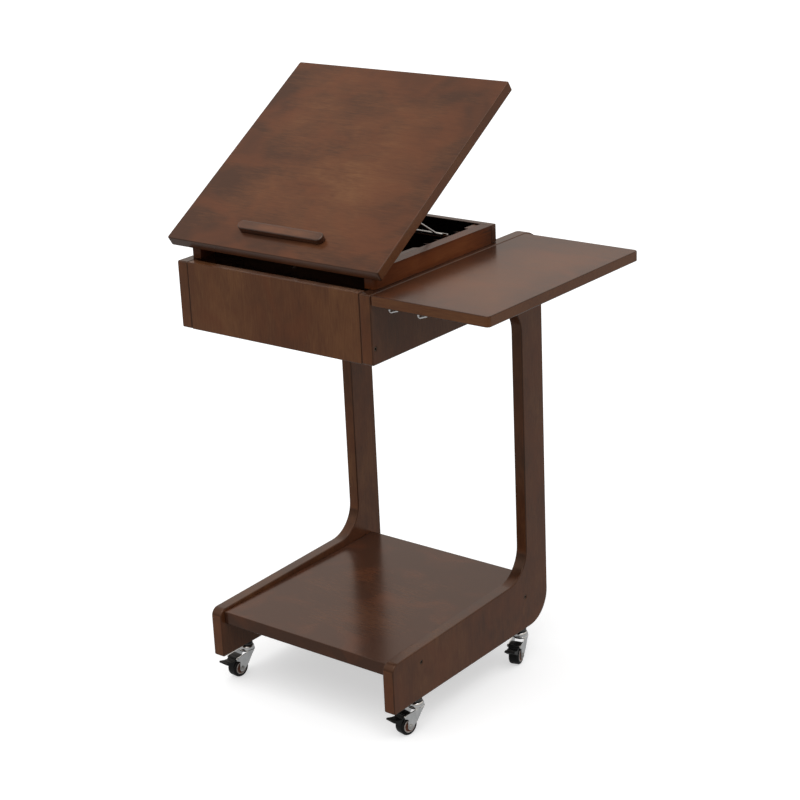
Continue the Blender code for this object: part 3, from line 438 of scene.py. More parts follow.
class Canvas:
    """A node tree with short calls for adding nodes and joining them."""

    def __init__(self, tree: Tree) -> None:
        """Hold the tree that is built."""
        self.tree = tree

    def join(self, source: Socket, target: Socket) -> None:
        """Link an output to an input."""
        self.tree.links.new(source, target)

    def fill(self, node: bpy.types.Node, values: dict) -> None:
        """Link or set a node's inputs.

        Args:
            node: The node.
            values: Input names or numbers, each with a socket to link or a value to set.
        """
        for key, value in values.items():
            if isinstance(value, Socket):
                self.join(value, node.inputs[key])
            else:
                node.inputs[key].default_value = value

    def add(self, kind: str, values: dict | None = None, **settings: object) -> bpy.types.Node:
        """Add a node.

        Args:
            kind: The node's type.
            values: Input names or numbers, each with a socket to link or a value to set.
            settings: The node's own properties.

        Returns:
            The new node.
        """
        node = self.tree.nodes.new(kind)
        for key, value in settings.items():
            setattr(node, key, value)
        self.fill(node, values or {})
        return node

    def first(self, kind: str, values: dict | None = None, **settings: object) -> Socket:
        """Add a node in the same way and return its first output."""
        return self.add(kind, values, **settings).outputs[0]

    def math(self, operation: str, *terms: object) -> Socket:
        """Add a math node over numbers or sockets and return its result."""
        return self.first("ShaderNodeMath", dict(enumerate(terms)), operation=operation)

    def vector_math(self, operation: str, *terms: object) -> Socket:
        """Add a vector math node over vectors or sockets and return its result."""
        return self.first("ShaderNodeVectorMath", dict(enumerate(terms)), operation=operation)

    def parts(self, vector: Socket) -> Sockets:
        """Return the X, Y and Z of a vector."""
        return self.add("ShaderNodeSeparateXYZ", {0: vector}).outputs

    def attribute(self, name: str, output: str = "Fac") -> Socket:
        """Read an attribute of the piece, as a number or by another of its outputs."""
        return self.add("ShaderNodeAttribute", attribute_name=name).outputs[output]

    def noise(self, vector: Socket, noise: Noise) -> Socket:
        """Lay a noise over a vector and return its value."""
        place = self.vector_math("MULTIPLY", vector, noise.scale)
        values = {"Vector": place, "Scale": 1.0, "Detail": noise.detail, "Distortion": noise.distortion}
        return self.first("ShaderNodeTexNoise", values)

    def ramp(self, value: Socket, span: Pair, result: Pair = (0.0, 1.0)) -> Socket:
        """Map a span of a value to a result and hold it at both ends."""
        values = {0: value, 1: span[0], 2: span[1], 3: result[0], 4: result[1]}
        return self.first("ShaderNodeMapRange", values, clamp=True)

    def blend(self, share: object, first: object, second: object) -> Socket:
        """Mix two colours, given as sockets or values, and return the result."""
        colours = [(*c, 1.0) if isinstance(c, tuple) else c for c in (first, second)]
        values = {0: share, 6: colours[0], 7: colours[1]}
        return self.add("ShaderNodeMix", values, data_type="RGBA").outputs[2]

    def bump(self, height: Socket, strength: float, depth: float) -> Socket:
        """Turn a height from 0 to 1 into a normal, for relief of a full depth in metres."""
        return self.first("ShaderNodeBump", {"Strength": strength, "Distance": depth, "Height": height})

    def group(self, tree: Tree, values: dict) -> Sockets:
        """Place a shader group with its inputs and return its outputs."""
        return self.add("ShaderNodeGroup", values, node_tree=tree).outputs


def new_tree(
        name: str, kind: str, inputs: dict[str, str],
        outputs: dict[str, str]) -> tuple[Canvas, Sockets, Sockets]:
    """Start a node group with named sockets.

    Args:
        name: The group's name.
        kind: The type of tree.
        inputs: Each input's name with its socket type.
        outputs: Each output's name with its socket type.

    Returns:
        The canvas, the sockets that give the inputs and the sockets that take the outputs.
    """
    tree = bpy.data.node_groups.new(name, kind)
    for way, sockets in (("INPUT", inputs), ("OUTPUT", outputs)):
        for label, socket_type in sockets.items():
            tree.interface.new_socket(label, in_out=way, socket_type=socket_type)
    canvas = Canvas(tree)
    return canvas, canvas.add("NodeGroupInput").outputs, canvas.add("NodeGroupOutput").inputs


def blank_material(name: str) -> tuple[Canvas, bpy.types.Node, bpy.types.Material]:
    """Start a material.

    Args:
        name: The material's name.

    Returns:
        Its canvas, its shader and the material.
    """
    material = bpy.data.materials.new(name)
    material.use_nodes = True
    return Canvas(material.node_tree), material.node_tree.nodes["Principled BSDF"], material


# Effects that finishes share


@dataclass(frozen=True)
class StripFigure:
    """The figure of boards glued up from strips, over metres along, across and through the grain."""

    strip_shift: Triple = (2.0, 2.0, 2.0)
    strip_weight: float = 0.06
    base_tone: float = 0.475
    clouds: Noise = Noise((5.5, 8.0, 8.0), 2.0, 0.3)
    cloud_weight: float = 0.88
    mottle: Noise = Noise((24.0, 42.0, 42.0), 3.0, 0.4)
    mottle_weight: float = 0.58
    patch_level: float = -0.805
    streaks: Noise = Noise((5.0, 210.0, 210.0), 3.0, 0.2)
    streak_weight: float = 0.15
    streak_relief: float = 0.5
    flecks: Noise = Noise((60.0, 480.0, 480.0), 2.0, 0.3)
    fleck_weight: float = 0.34
    fibres: Noise = Noise((60.0, 1500.0, 1500.0), 2.0)
    fibre_weight: float = 0.24
    reds: Noise = Noise((13.0, 17.0, 17.0), 2.0, 0.8)
    calm_reds: float = -0.25
    rim_ragged: float = 0.5
    rim_span: Pair = (0.40, 1.05)
    rim_depth: float = 0.38
    seam_span: Pair = (0.485, 0.5)
    seam_depth: float = 0.05

    def tree(self) -> Tree:
        """Build the figure's tone, its blotches of stain and the height of its pores.

        Returns:
            The shader group.
        """
        canvas, given, result = new_tree(
            "strip_figure", "ShaderNodeTree", {"Grain": VECTOR, "Strip Width": FLOAT},
            {"Tone": FLOAT, "Blotch": FLOAT, "Height": FLOAT})
        grain = given["Grain"]
        place = canvas.math("DIVIDE", canvas.parts(grain)["Y"], given["Strip Width"])
        strip = canvas.math("FLOOR", place)
        draw = canvas.add("ShaderNodeTexWhiteNoise", {"W": strip}, noise_dimensions="1D").outputs
        shift = canvas.vector_math("MULTIPLY", draw["Color"], self.strip_shift)
        own = canvas.vector_math("ADD", grain, shift)
        mottle, streaks, flecks, fibres = (
            canvas.noise(own, noise) for noise in (self.mottle, self.streaks, self.flecks, self.fibres))
        calm = canvas.attribute("calm")
        patches = canvas.math("MULTIPLY_ADD", mottle, self.mottle_weight, self.patch_level)
        patches = canvas.math("MULTIPLY_ADD", canvas.noise(grain, self.clouds), self.cloud_weight, patches)
        patches = canvas.math("MULTIPLY_ADD", streaks, self.streak_weight, patches)
        patches = canvas.math("SUBTRACT", patches, self.rim(canvas, mottle))
        patches = canvas.math("MULTIPLY", patches, canvas.math("SUBTRACT", 1.0, calm))
        tone = canvas.math("MULTIPLY_ADD", draw["Value"], self.strip_weight, self.base_tone)
        tone = canvas.math("ADD", tone, canvas.attribute("stain"))
        tone = canvas.math("ADD", tone, patches)
        for source, weight in ((flecks, self.fleck_weight), (fibres, self.fibre_weight)):
            tone = canvas.math("ADD", tone, canvas.math("MULTIPLY_ADD", source, weight, -weight / 2))
        seam = canvas.math("ABSOLUTE", canvas.math("SUBTRACT", canvas.math("FRACT", place), 0.5))
        seam = canvas.ramp(seam, self.seam_span, (0.0, self.seam_depth))
        canvas.join(canvas.math("SUBTRACT", tone, seam), result["Tone"])
        reds = canvas.math("MULTIPLY_ADD", calm, self.calm_reds, canvas.noise(grain, self.reds))
        canvas.join(reds, result["Blotch"])
        canvas.join(canvas.math("MULTIPLY_ADD", streaks, self.streak_relief, fibres), result["Height"])
        return canvas.tree

    def rim(self, canvas: Canvas, mottle: Socket) -> Socket:
        """Darken the stain towards a board's edges.

        Args:
            canvas: The group's canvas.
            mottle: The noise that makes the dark rim ragged.

        Returns:
            How much darker the tone is.
        """
        way = canvas.parts(canvas.vector_math("ABSOLUTE", canvas.attribute("span", "Vector")))
        ragged = canvas.math("MULTIPLY_ADD", mottle, self.rim_ragged, -self.rim_ragged / 2)
        edge = canvas.math("ADD", canvas.math("MAXIMUM", way["X"], way["Y"]), ragged)
        return canvas.ramp(edge, self.rim_span, (0.0, self.rim_depth))


@dataclass(frozen=True)
class ArrisWear:
    """Patches along rounded edges where a finish is changed: pooled stain or rubbed plastic."""

    patches: Noise = Noise((34.0, 34.0, 34.0), 3.0)
    patch_span: Pair = (0.32, 0.68)
    patch_share: Pair = (0.6, 1.0)

    def tree(self) -> Tree:
        """Build the mask, which is 1 where the finish is changed in full.

        Returns:
            The shader group.
        """
        canvas, given, result = new_tree(
            "arris_wear", "ShaderNodeTree", {"Place": VECTOR, "Amount": FLOAT}, {"Mask": FLOAT})
        patches = canvas.ramp(canvas.noise(given["Place"], self.patches), self.patch_span, self.patch_share)
        worn = canvas.math("MULTIPLY", canvas.attribute("arris"), patches)
        canvas.join(canvas.math("MULTIPLY", worn, given["Amount"]), result["Mask"])
        return canvas.tree


@dataclass(frozen=True)
class MouldSpeckle:
    """The fine speckle and grain of moulded plastic and rubber."""

    fine_detail: float = 2.0
    fine_weight: float = 0.4
    broad: Noise = Noise((90.0, 90.0, 90.0), 3.0)
    broad_weight: float = 0.6

    def tree(self) -> Tree:
        """Build a tone about one half and a height for bump.

        Returns:
            The shader group.
        """
        canvas, given, result = new_tree(
            "mould_speckle", "ShaderNodeTree", {"Place": VECTOR, "Grain Size": FLOAT},
            {"Tone": FLOAT, "Height": FLOAT})
        scale = canvas.math("DIVIDE", 1.0, given["Grain Size"])
        values = {"Vector": given["Place"], "Scale": scale, "Detail": self.fine_detail}
        fine = canvas.first("ShaderNodeTexNoise", values)
        broad = canvas.math("MULTIPLY", canvas.noise(given["Place"], self.broad), self.broad_weight)
        canvas.join(canvas.math("MULTIPLY_ADD", fine, self.fine_weight, broad), result["Tone"])
        canvas.join(fine, result["Height"])
        return canvas.tree


@dataclass(frozen=True)
class RubMarks:
    """The haze and hairlines of handled metal."""

    haze: Noise = Noise((110.0, 110.0, 70.0), 4.0, 0.4)
    haze_span: Pair = (0.3, 0.75)
    lines: Noise = Noise((2600.0, 260.0, 900.0), 2.0)

    def tree(self) -> Tree:
        """Build a haze from 0 to 1 and a height for bump.

        Returns:
            The shader group.
        """
        canvas, given, result = new_tree(
            "rub_marks", "ShaderNodeTree", {"Place": VECTOR, "Hairline": FLOAT},
            {"Haze": FLOAT, "Height": FLOAT})
        haze, lines = (canvas.noise(given["Place"], noise) for noise in (self.haze, self.lines))
        mixed = canvas.math("MULTIPLY_ADD", canvas.math("SUBTRACT", lines, 0.5), given["Hairline"], haze)
        canvas.join(canvas.ramp(mixed, self.haze_span), result["Haze"])
        canvas.join(lines, result["Height"])
        return canvas.tree


EFFECTS = (StripFigure(), ArrisWear(), MouldSpeckle(), RubMarks())


# Finishes


@dataclass(frozen=True)
class StainedWood:
    """Dark walnut stain under a satin coat, on boards glued up from strips, with painted shade blended in
    where the inside layer is set.
    """

    name: str = "walnut_stain"
    slot: str = "walnut"
    dark: Colour = (0.052, 0.0215, 0.0125)
    middle: Colour = (0.118, 0.0435, 0.0185)
    light: Colour = (0.190, 0.079, 0.031)
    red: Colour = (0.142, 0.042, 0.0160)
    pooled: Colour = (0.020, 0.0100, 0.0065)
    # Painted shade: an almost unlit dark brown, blended over the faces within the box that lie in deep shade
    # under the board
    black: Colour = (0.005, 0.0045, 0.004)
    dark_span: Pair = (0.18, 0.50)
    light_span: Pair = (0.50, 0.82)
    red_span: Pair = (0.42, 0.66)
    red_share: float = 0.5
    strip_width: float = 0.056
    pooling: float = 0.80
    satin_span: Pair = (0.2, 0.8)
    roughness: Pair = (0.20, 0.26)
    specular: float = 0.50
    gloss: Colour = (1.0, 0.60, 0.42)
    coat: Pair = (0.0, 0.20)
    coat_roughness: float = 0.21
    bump: float = 0.06
    pore_depth: float = 0.0003

    def material(self, groups: dict[str, Tree]) -> bpy.types.Material:
        """Build the stained wood from its grain attribute.

        Args:
            groups: The shader groups by name.

        Returns:
            The material.
        """
        canvas, shader, material = blank_material(self.name)
        grain = canvas.attribute("grain", "Vector")
        figure = canvas.group(groups["strip_figure"], {"Grain": grain, "Strip Width": self.strip_width})
        pools = canvas.group(groups["arris_wear"], {"Place": grain, "Amount": self.pooling})["Mask"]
        tone = figure["Tone"]
        stain = canvas.blend(canvas.ramp(tone, self.dark_span), self.dark, self.middle)
        stain = canvas.blend(canvas.ramp(tone, self.light_span), stain, self.light)
        redder = canvas.ramp(figure["Blotch"], self.red_span, (0.0, self.red_share))
        stain = canvas.blend(redder, stain, self.red)
        stain = canvas.blend(pools, stain, self.pooled)
        canvas.fill(shader, {
            # Painted shade: the inside layer blends the stain towards the almost unlit dark brown
            "Base Color": canvas.blend(canvas.attribute("inside"), stain, self.black),
            "Roughness": canvas.ramp(tone, self.satin_span, self.roughness),
            "Specular IOR Level": self.specular,
            "Specular Tint": (*self.gloss, 1.0),
            "Coat Weight": canvas.ramp(pools, (0.0, self.pooling), self.coat),
            "Coat Roughness": self.coat_roughness,
            "Normal": canvas.bump(figure["Height"], self.bump, self.pore_depth),
        })
        return material


@dataclass(frozen=True)
class BrightMetal:
    """Plated or polished metal with a little haze."""

    name: str
    slot: str
    colour: Colour
    dull: Colour
    roughness: Pair
    hairline: float
    bump: float
    mark_depth: float = 0.00005

    def material(self, groups: dict[str, Tree]) -> bpy.types.Material:
        """Build the metal from its rub marks.

        Args:
            groups: The shader groups by name.

        Returns:
            The material.
        """
        canvas, shader, material = blank_material(self.name)
        place = canvas.add("ShaderNodeTexCoord").outputs["Object"]
        marks = canvas.group(groups["rub_marks"], {"Place": place, "Hairline": self.hairline})
        canvas.fill(shader, {
            "Base Color": canvas.blend(marks["Haze"], self.colour, self.dull),
            "Roughness": canvas.ramp(marks["Haze"], (0.0, 1.0), self.roughness),
            "Metallic": 1.0,
            "Normal": canvas.bump(marks["Height"], self.bump, self.mark_depth),
        })
        return material


@dataclass(frozen=True)
class Moulded:
    """Moulded plastic, rubber or pressed board with a fine speckle."""

    name: str
    slot: str
    dark: Colour
    light: Colour
    roughness: Pair
    grain_size: float
    bump: float
    specular: float = 0.3
    wear: float = 0.0
    bare: Colour = (0.03, 0.03, 0.03)
    tone_span: Pair = (0.3, 0.7)
    grain_depth: float = 0.0002

    def material(self, groups: dict[str, Tree]) -> bpy.types.Material:
        """Build the moulded finish from its speckle.

        Args:
            groups: The shader groups by name.

        Returns:
            The material.
        """
        canvas, shader, material = blank_material(self.name)
        place = canvas.add("ShaderNodeTexCoord").outputs["Object"]
        speckle = canvas.group(groups["mould_speckle"], {"Place": place, "Grain Size": self.grain_size})
        tone = canvas.ramp(speckle["Tone"], self.tone_span)
        colour = canvas.blend(tone, self.dark, self.light)
        if self.wear > 0.0:
            worn = canvas.group(groups["arris_wear"], {"Place": place, "Amount": self.wear})["Mask"]
            colour = canvas.blend(worn, colour, self.bare)
        canvas.fill(shader, {
            "Base Color": colour,
            "Roughness": canvas.ramp(tone, (0.0, 1.0), self.roughness),
            "Specular IOR Level": self.specular,
            "Normal": canvas.bump(speckle["Height"], self.bump, self.grain_depth),
        })
        return material


Finish = StainedWood | BrightMetal | Moulded

WALNUT = StainedWood()
LEDGE_WALNUT = StainedWood(name="ledge_lacquer", coat=(0.50, 0.70), coat_roughness=0.09)
# Painted bounce light: the ratchet rails get a redder, lighter stain for the orange light that the leaf
# throws up on them
RAIL_BOUNCE_LIT_WALNUT = StainedWood(
    name="rail_stain", middle=(0.165, 0.046, 0.015), light=(0.225, 0.067, 0.021), red=(0.190, 0.050, 0.014),
    specular=0.25)
CHROME = BrightMetal(
    "bright_chrome", "chrome", colour=(0.79, 0.80, 0.80), dull=(0.63, 0.64, 0.64), roughness=(0.05, 0.14),
    hairline=0.2, bump=0.02)
ZINC = BrightMetal(
    "zinc_steel", "steel", colour=(0.60, 0.60, 0.58), dull=(0.42, 0.42, 0.41), roughness=(0.26, 0.46),
    hairline=0.5, bump=0.08)
BOLT = BrightMetal(
    "bronzed_bolt", "steel", colour=(0.16, 0.12, 0.09), dull=(0.07, 0.05, 0.04), roughness=(0.30, 0.50),
    hairline=0.4, bump=0.05)
BLACK_ZINC = BrightMetal(
    "black_zinc", "steel", colour=(0.10, 0.10, 0.10), dull=(0.05, 0.05, 0.05), roughness=(0.22, 0.40),
    hairline=0.3, bump=0.04)
# Painted shade: the box's bottom board is made almost unlit dark, for the shade within the box, with a fine
# speckle
SHADE_DARK_BOTTOM = Moulded(
    "black_lining", "lining", dark=(0.004, 0.0038, 0.0036), light=(0.009, 0.0085, 0.008),
    roughness=(0.6, 0.8), grain_size=0.0011, bump=0.25, specular=0.1)
BUMPER = Moulded(
    "bumper_rubber", "bumper", dark=(0.012, 0.012, 0.012), light=(0.022, 0.022, 0.022), roughness=(0.6, 0.8),
    grain_size=0.0005, bump=0.2, specular=0.2)
TYRE = Moulded(
    "tyre_rubber", "tyre", dark=(0.0045, 0.0045, 0.0045), light=(0.010, 0.010, 0.010), roughness=(0.38, 0.56),
    grain_size=0.0006, bump=0.2, specular=0.22, wear=0.3)
HUB = Moulded(
    "hub_brown", "hub", dark=(0.16, 0.060, 0.034), light=(0.26, 0.105, 0.062), roughness=(0.28, 0.42),
    grain_size=0.0008, bump=0.08)
HUB_RING = Moulded(
    "hub_ring_pale", "hub", dark=(0.56, 0.47, 0.42), light=(0.70, 0.62, 0.57), roughness=(0.30, 0.42),
    grain_size=0.0008, bump=0.05)
PEDAL = Moulded(
    "pedal_plastic", "pedal", dark=(0.004, 0.004, 0.004), light=(0.008, 0.008, 0.008), roughness=(0.30, 0.46),
    grain_size=0.0004, bump=0.2, specular=0.25, wear=0.3)
FINISHES = (
    WALNUT, LEDGE_WALNUT, RAIL_BOUNCE_LIT_WALNUT, CHROME, ZINC, BOLT, BLACK_ZINC, SHADE_DARK_BOTTOM, BUMPER, TYRE, HUB, HUB_RING,
    PEDAL)


# Geometry node trees


def close_tree(canvas: Canvas, geometry: Socket, finish: Socket, target: Socket) -> Tree:
    """End a geometry tree: make its instances real, give them their finish and put them out.

    Args:
        canvas: The tree's canvas.
        geometry: What the tree has made.
        finish: The input that gives the finish.
        target: The output that takes the geometry.

    Returns:
        The whole tree.
    """
    whole = canvas.first("GeometryNodeRealizeInstances", {"Geometry": geometry})
    canvas.join(canvas.first("GeometryNodeSetMaterial", {"Geometry": whole, "Material": finish}), target)
    return canvas.tree


def wire_tree() -> Tree:
    """Build the tree that draws round wire along a path of edges, thinned by its taper attribute.

    Returns:
        The geometry tree.
    """
    canvas, given, result = new_tree(
        "round_wire", "GeometryNodeTree",
        {"Path": GEOMETRY, "Radius": FLOAT, "Sides": INTEGER, "Finish": MATERIAL}, {"Wire": GEOMETRY})
    path = canvas.first("GeometryNodeMeshToCurve", {"Mesh": given["Path"]})
    taper = canvas.first("GeometryNodeInputNamedAttribute", {"Name": "taper"}, data_type="FLOAT")
    circle = {"Resolution": given["Sides"], "Radius": given["Radius"]}
    section = canvas.first("GeometryNodeCurvePrimitiveCircle", circle)
    values = {"Curve": path, "Profile Curve": section, "Scale": taper, "Fill Caps": True}
    wire = canvas.first("GeometryNodeCurveToMesh", values)
    return close_tree(canvas, wire, given["Finish"], result["Wire"])


def fastener_tree() -> Tree:
    """Build the tree that sets one head on every point, turned to the point's facing attribute.

    Returns:
        The geometry tree.
    """
    canvas, given, result = new_tree(
        "fastener_heads", "GeometryNodeTree", {"Places": GEOMETRY, "Head": OBJECT, "Finish": MATERIAL},
        {"Heads": GEOMETRY})
    facing = canvas.first("GeometryNodeInputNamedAttribute", {"Name": "facing"}, data_type="FLOAT_VECTOR")
    turn = canvas.first("FunctionNodeAlignRotationToVector", {"Vector": facing}, axis="Z")
    head = canvas.add("GeometryNodeObjectInfo", {"Object": given["Head"]}).outputs["Geometry"]
    values = {"Points": given["Places"], "Instance": head, "Rotation": turn}
    heads = canvas.first("GeometryNodeInstanceOnPoints", values)
    return close_tree(canvas, heads, given["Finish"], result["Heads"])


def rib_tree() -> Tree:
    """Build the tree that raises a row of ribs on a piece.

    Returns:
        The geometry tree.
    """
    canvas, given, result = new_tree(
        "ribbed_row", "GeometryNodeTree",
        {"Stock": GEOMETRY, "Rib": OBJECT, "Count": INTEGER, "Start": VECTOR, "Pitch": VECTOR,
         "Finish": MATERIAL},
        {"Row": GEOMETRY})
    places = {"Count": given["Count"], "Start Location": given["Start"], "Offset": given["Pitch"]}
    line = canvas.first("GeometryNodeMeshLine", places)
    rib = canvas.add("GeometryNodeObjectInfo", {"Object": given["Rib"]}).outputs["Geometry"]
    row = canvas.first("GeometryNodeInstanceOnPoints", {"Points": line, "Instance": rib})
    ribs = canvas.first("GeometryNodeRealizeInstances", {"Geometry": row})
    joint = canvas.add("GeometryNodeMeshBoolean", operation="UNION")
    for geometry in (given["Stock"], ribs):
        canvas.join(geometry, joint.inputs["Mesh 2"])
    return close_tree(canvas, joint.outputs[0], given["Finish"], result["Row"])


def grown(seed: bpy.types.Object, tree: Tree, values: dict[str, object]) -> Shape:
    """Run a geometry tree on a seed.

    Args:
        seed: The object that the tree works on, which is removed.
        tree: The geometry tree.
        values: Input names with their values.

    Returns:
        The shape that the tree makes.
    """
    modifier = seed.modifiers.new(tree.name, "NODES")
    modifier.node_group = tree
    for item in tree.interface.items_tree:
        if item.in_out == "INPUT" and item.name in values:
            modifier[item.identifier] = values[item.name]
    return settled(seed)


# The bench


@dataclass
class Bench:
    """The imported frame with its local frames, finishes and trees, where pieces are finished."""

    frame: dict
    table: Matrix = field(init=False)
    board: Matrix = field(init=False)
    bail: Matrix = field(init=False)
    leaf: Matrix = field(init=False)
    materials: dict[str, bpy.types.Material] = field(init=False)
    trees: dict[str, Tree] = field(init=False)
    planks: int = 0

    def __post_init__(self) -> None:
        """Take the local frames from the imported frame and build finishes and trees."""
        left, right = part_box("side_frame_left"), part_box("side_frame_right")
        self.table = Matrix.Translation(((left[0].x + right[1].x) / 2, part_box("box_front")[0].y, 0.0))
        tilt = -math.radians(self.joint("board_tilt")["range_deg"][0])
        self.board = self.joint_place("board_tilt") @ Matrix.Rotation(tilt, 4, "X")
        self.bail = self.joint_place("bail_fold") @ Matrix.Rotation(-tilt, 4, "X")
        self.leaf = self.joint_place("leaf_drop")
        groups = {tree.name: tree for tree in (effect.tree() for effect in EFFECTS)}
        self.materials = {finish.name: finish.material(groups) for finish in FINISHES}
        self.trees = {tree.name: tree for tree in (wire_tree(), fastener_tree(), rib_tree())}

    def joint(self, name: str) -> dict:
        """Return a joint's entry in the frame."""
        return next(joint for joint in self.frame["joints"] if joint["name"] == name)

    def joint_place(self, name: str) -> Matrix:
        """Return a shift to a joint's place in the row frame."""
        return Matrix.Translation(self.joint(name)["pos_m"])

    def reach(self, node: str, datum: Matrix | None = None) -> tuple[Vector, Vector]:
        """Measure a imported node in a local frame.

        Args:
            node: The node's name.
            datum: The local frame, or none for the table's own.

        Returns:
            Its lowest and highest corners in millimetres.
        """
        inverse = (self.table if datum is None else datum).inverted()
        places = [inverse @ vertex.co / MM for vertex in self.frame["nodes"][node].data.vertices]
        low = Vector(min(place[axis] for place in places) for axis in range(3))
        high = Vector(max(place[axis] for place in places) for axis in range(3))
        return low, high

    def plank(self, shape: Shape, along: Axis, across: Axis, shaded: bool = True) -> Shape:
        """Mark where each point of a board lay in its plank.

        Args:
            shape: The board, with its edges eased.
            along: The axis that the grain runs along.
            across: The axis across the board's face.
            shaded: True if the stain darkens towards the board's edges.

        Returns:
            The same shape.
        """
        self.planks += 1
        order = (along.value, across.value, 3 - along.value - across.value)
        grain = shape.verts.layers.float_vector.new("grain")
        span = shape.verts.layers.float_vector.new("span")
        places = [Vector([vertex.co[axis] for axis in order]) for vertex in shape.verts]
        low = [min(place[axis] for place in places) for axis in range(3)]
        high = [max(place[axis] for place in places) for axis in range(3)]
        for vertex, place in zip(shape.verts, places):
            vertex[grain] = place * MM + PLANK_STEP * self.planks
            if shaded:
                vertex[span] = [2 * (p - a) / (b - a) - 1 for p, a, b in zip(place, low, high)]
        return shape

    def place(
            self, name: str, shape: Shape, datum: Matrix, body: str, finish: Finish,
            stands_for: Sequence[str] = (), arris: float = 0.0) -> None:
        """Write a shape to a finished piece on its body.

        Args:
            name: The piece's name.
            shape: Its form in millimetres, in its local frame.
            datum: That frame.
            body: The body that carries it.
            finish: Its finish.
            stands_for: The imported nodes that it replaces.
            arris: The width of edges still to be rounded, in millimetres.
        """
        shape.transform(datum @ Matrix.Scale(MM, 4))
        bmesh.ops.recalc_face_normals(shape, faces=shape.faces)
        item = shape_object(name, shape)
        item.data.shade_smooth()
        item.data.materials.clear()
        item.data.materials.append(self.materials[finish.name])
        if arris > 0.0:
            bevel = item.modifiers.new("rounded_edges", "BEVEL")
            bevel.width = arris * MM
            bevel.segments = ARRIS_STEPS
            bevel.limit_method = "ANGLE"
            bevel.angle_limit = math.radians(ARRIS_DEG)
        item.modifiers.new("flat_faces", "WEIGHTED_NORMAL").keep_sharp = True
        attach(item, body)
        if stands_for:
            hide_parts(*stands_for)
        LOG.info("%s on %s in %s, %d faces", name, body, finish.name, len(item.data.polygons))

    def place_wood(self, node: str, shape: Shape, finish: Finish = WALNUT) -> None:
        """Place a board of the table's fixed frame, drawn in the table's own frame, for its node."""
        self.place(f"{node}_wood", shape, self.table, "table_frame", finish, [node])

    def place_pin(
            self, node: str, datum: Matrix, axis: Axis, radius: float, head: float, arris: float) -> None:
        """Turn a steel pin on the table's fixed frame, with a domed head at both ends, for its node.

        Args:
            node: The pin's node.
            datum: The local frame, in which it lies along X or Y.
            axis: The axis it lies along.
            radius: Its radius.
            head: The thickness of a head.
            arris: The width of edges still to be rounded.
        """
        low, high = self.reach(node, datum)
        half, head_radius = ((high[way] - low[way]) / 2 for way in (axis.value, 1 - axis.value))
        end = [(0.0, -half)]
        end += [(head_radius * out, -half + head * back) for out, back in PIN_DOME]
        end += [(head_radius, head - half), (radius, head - half)]
        shape = moved(turned(mirrored(end), ROUND_STEPS, axis), (low + high) / 2)
        self.place(f"{node}_steel", shape, datum, "table_frame", ZINC, [node], arris)

    def wire(self, path: Sequence[Triple], radius: float, finish: Finish, tip: bool = False) -> Shape:
        """Draw round wire along a path.

        Args:
            path: Points in millimetres.
            radius: The wire's radius.
            finish: Its finish.
            tip: True to round the far end over.

        Returns:
            The wire's solid in millimetres.
        """
        points = [Vector(point) for point in path]
        tapers = [1.0] * len(points)
        if tip:
            way = (points[-1] - points[-2]).normalized()
            end = points.pop()
            tapers.pop()
            for angle_deg in WIRE_TIP_DEG:
                angle = math.radians(angle_deg)
                points.append(end - way * radius * (1.0 - math.sin(angle)))
                tapers.append(math.cos(angle))
        mesh = bpy.data.meshes.new("wire_path")
        mesh.from_pydata(points, [(index, index + 1) for index in range(len(points) - 1)], [])
        mesh.attributes.new("taper", "FLOAT", "POINT").data.foreach_set("value", tapers)
        values = {"Radius": radius, "Sides": WIRE_SIDES, "Finish": self.materials[finish.name]}
        shape = grown(loose_object("wire_path", mesh), self.trees["round_wire"], values)
        bmesh.ops.remove_doubles(shape, verts=shape.verts, dist=MERGE_DISTANCE)
        return shape

    def ribbed(
            self, stock: Shape, rib: Shape, count: int, start: Triple, pitch: Triple,
            finish: Finish) -> Shape:
        """Raise a row of ribs on a piece.

        Args:
            stock: The piece.
            rib: One rib, about the origin.
            count: How many there are.
            start: Where the first one goes.
            pitch: The step from each one to the next.
            finish: The piece's finish.

        Returns:
            The ribbed piece in millimetres.
        """
        tool = shape_object("row_rib", rib)
        values = {"Rib": tool, "Count": count, "Start": start, "Pitch": pitch}
        values["Finish"] = self.materials[finish.name]
        shape = grown(shape_object("row_stock", stock), self.trees["ribbed_row"], values)
        bpy.data.objects.remove(tool, do_unlink=True)
        return cleaned(shape)


# Fasteners


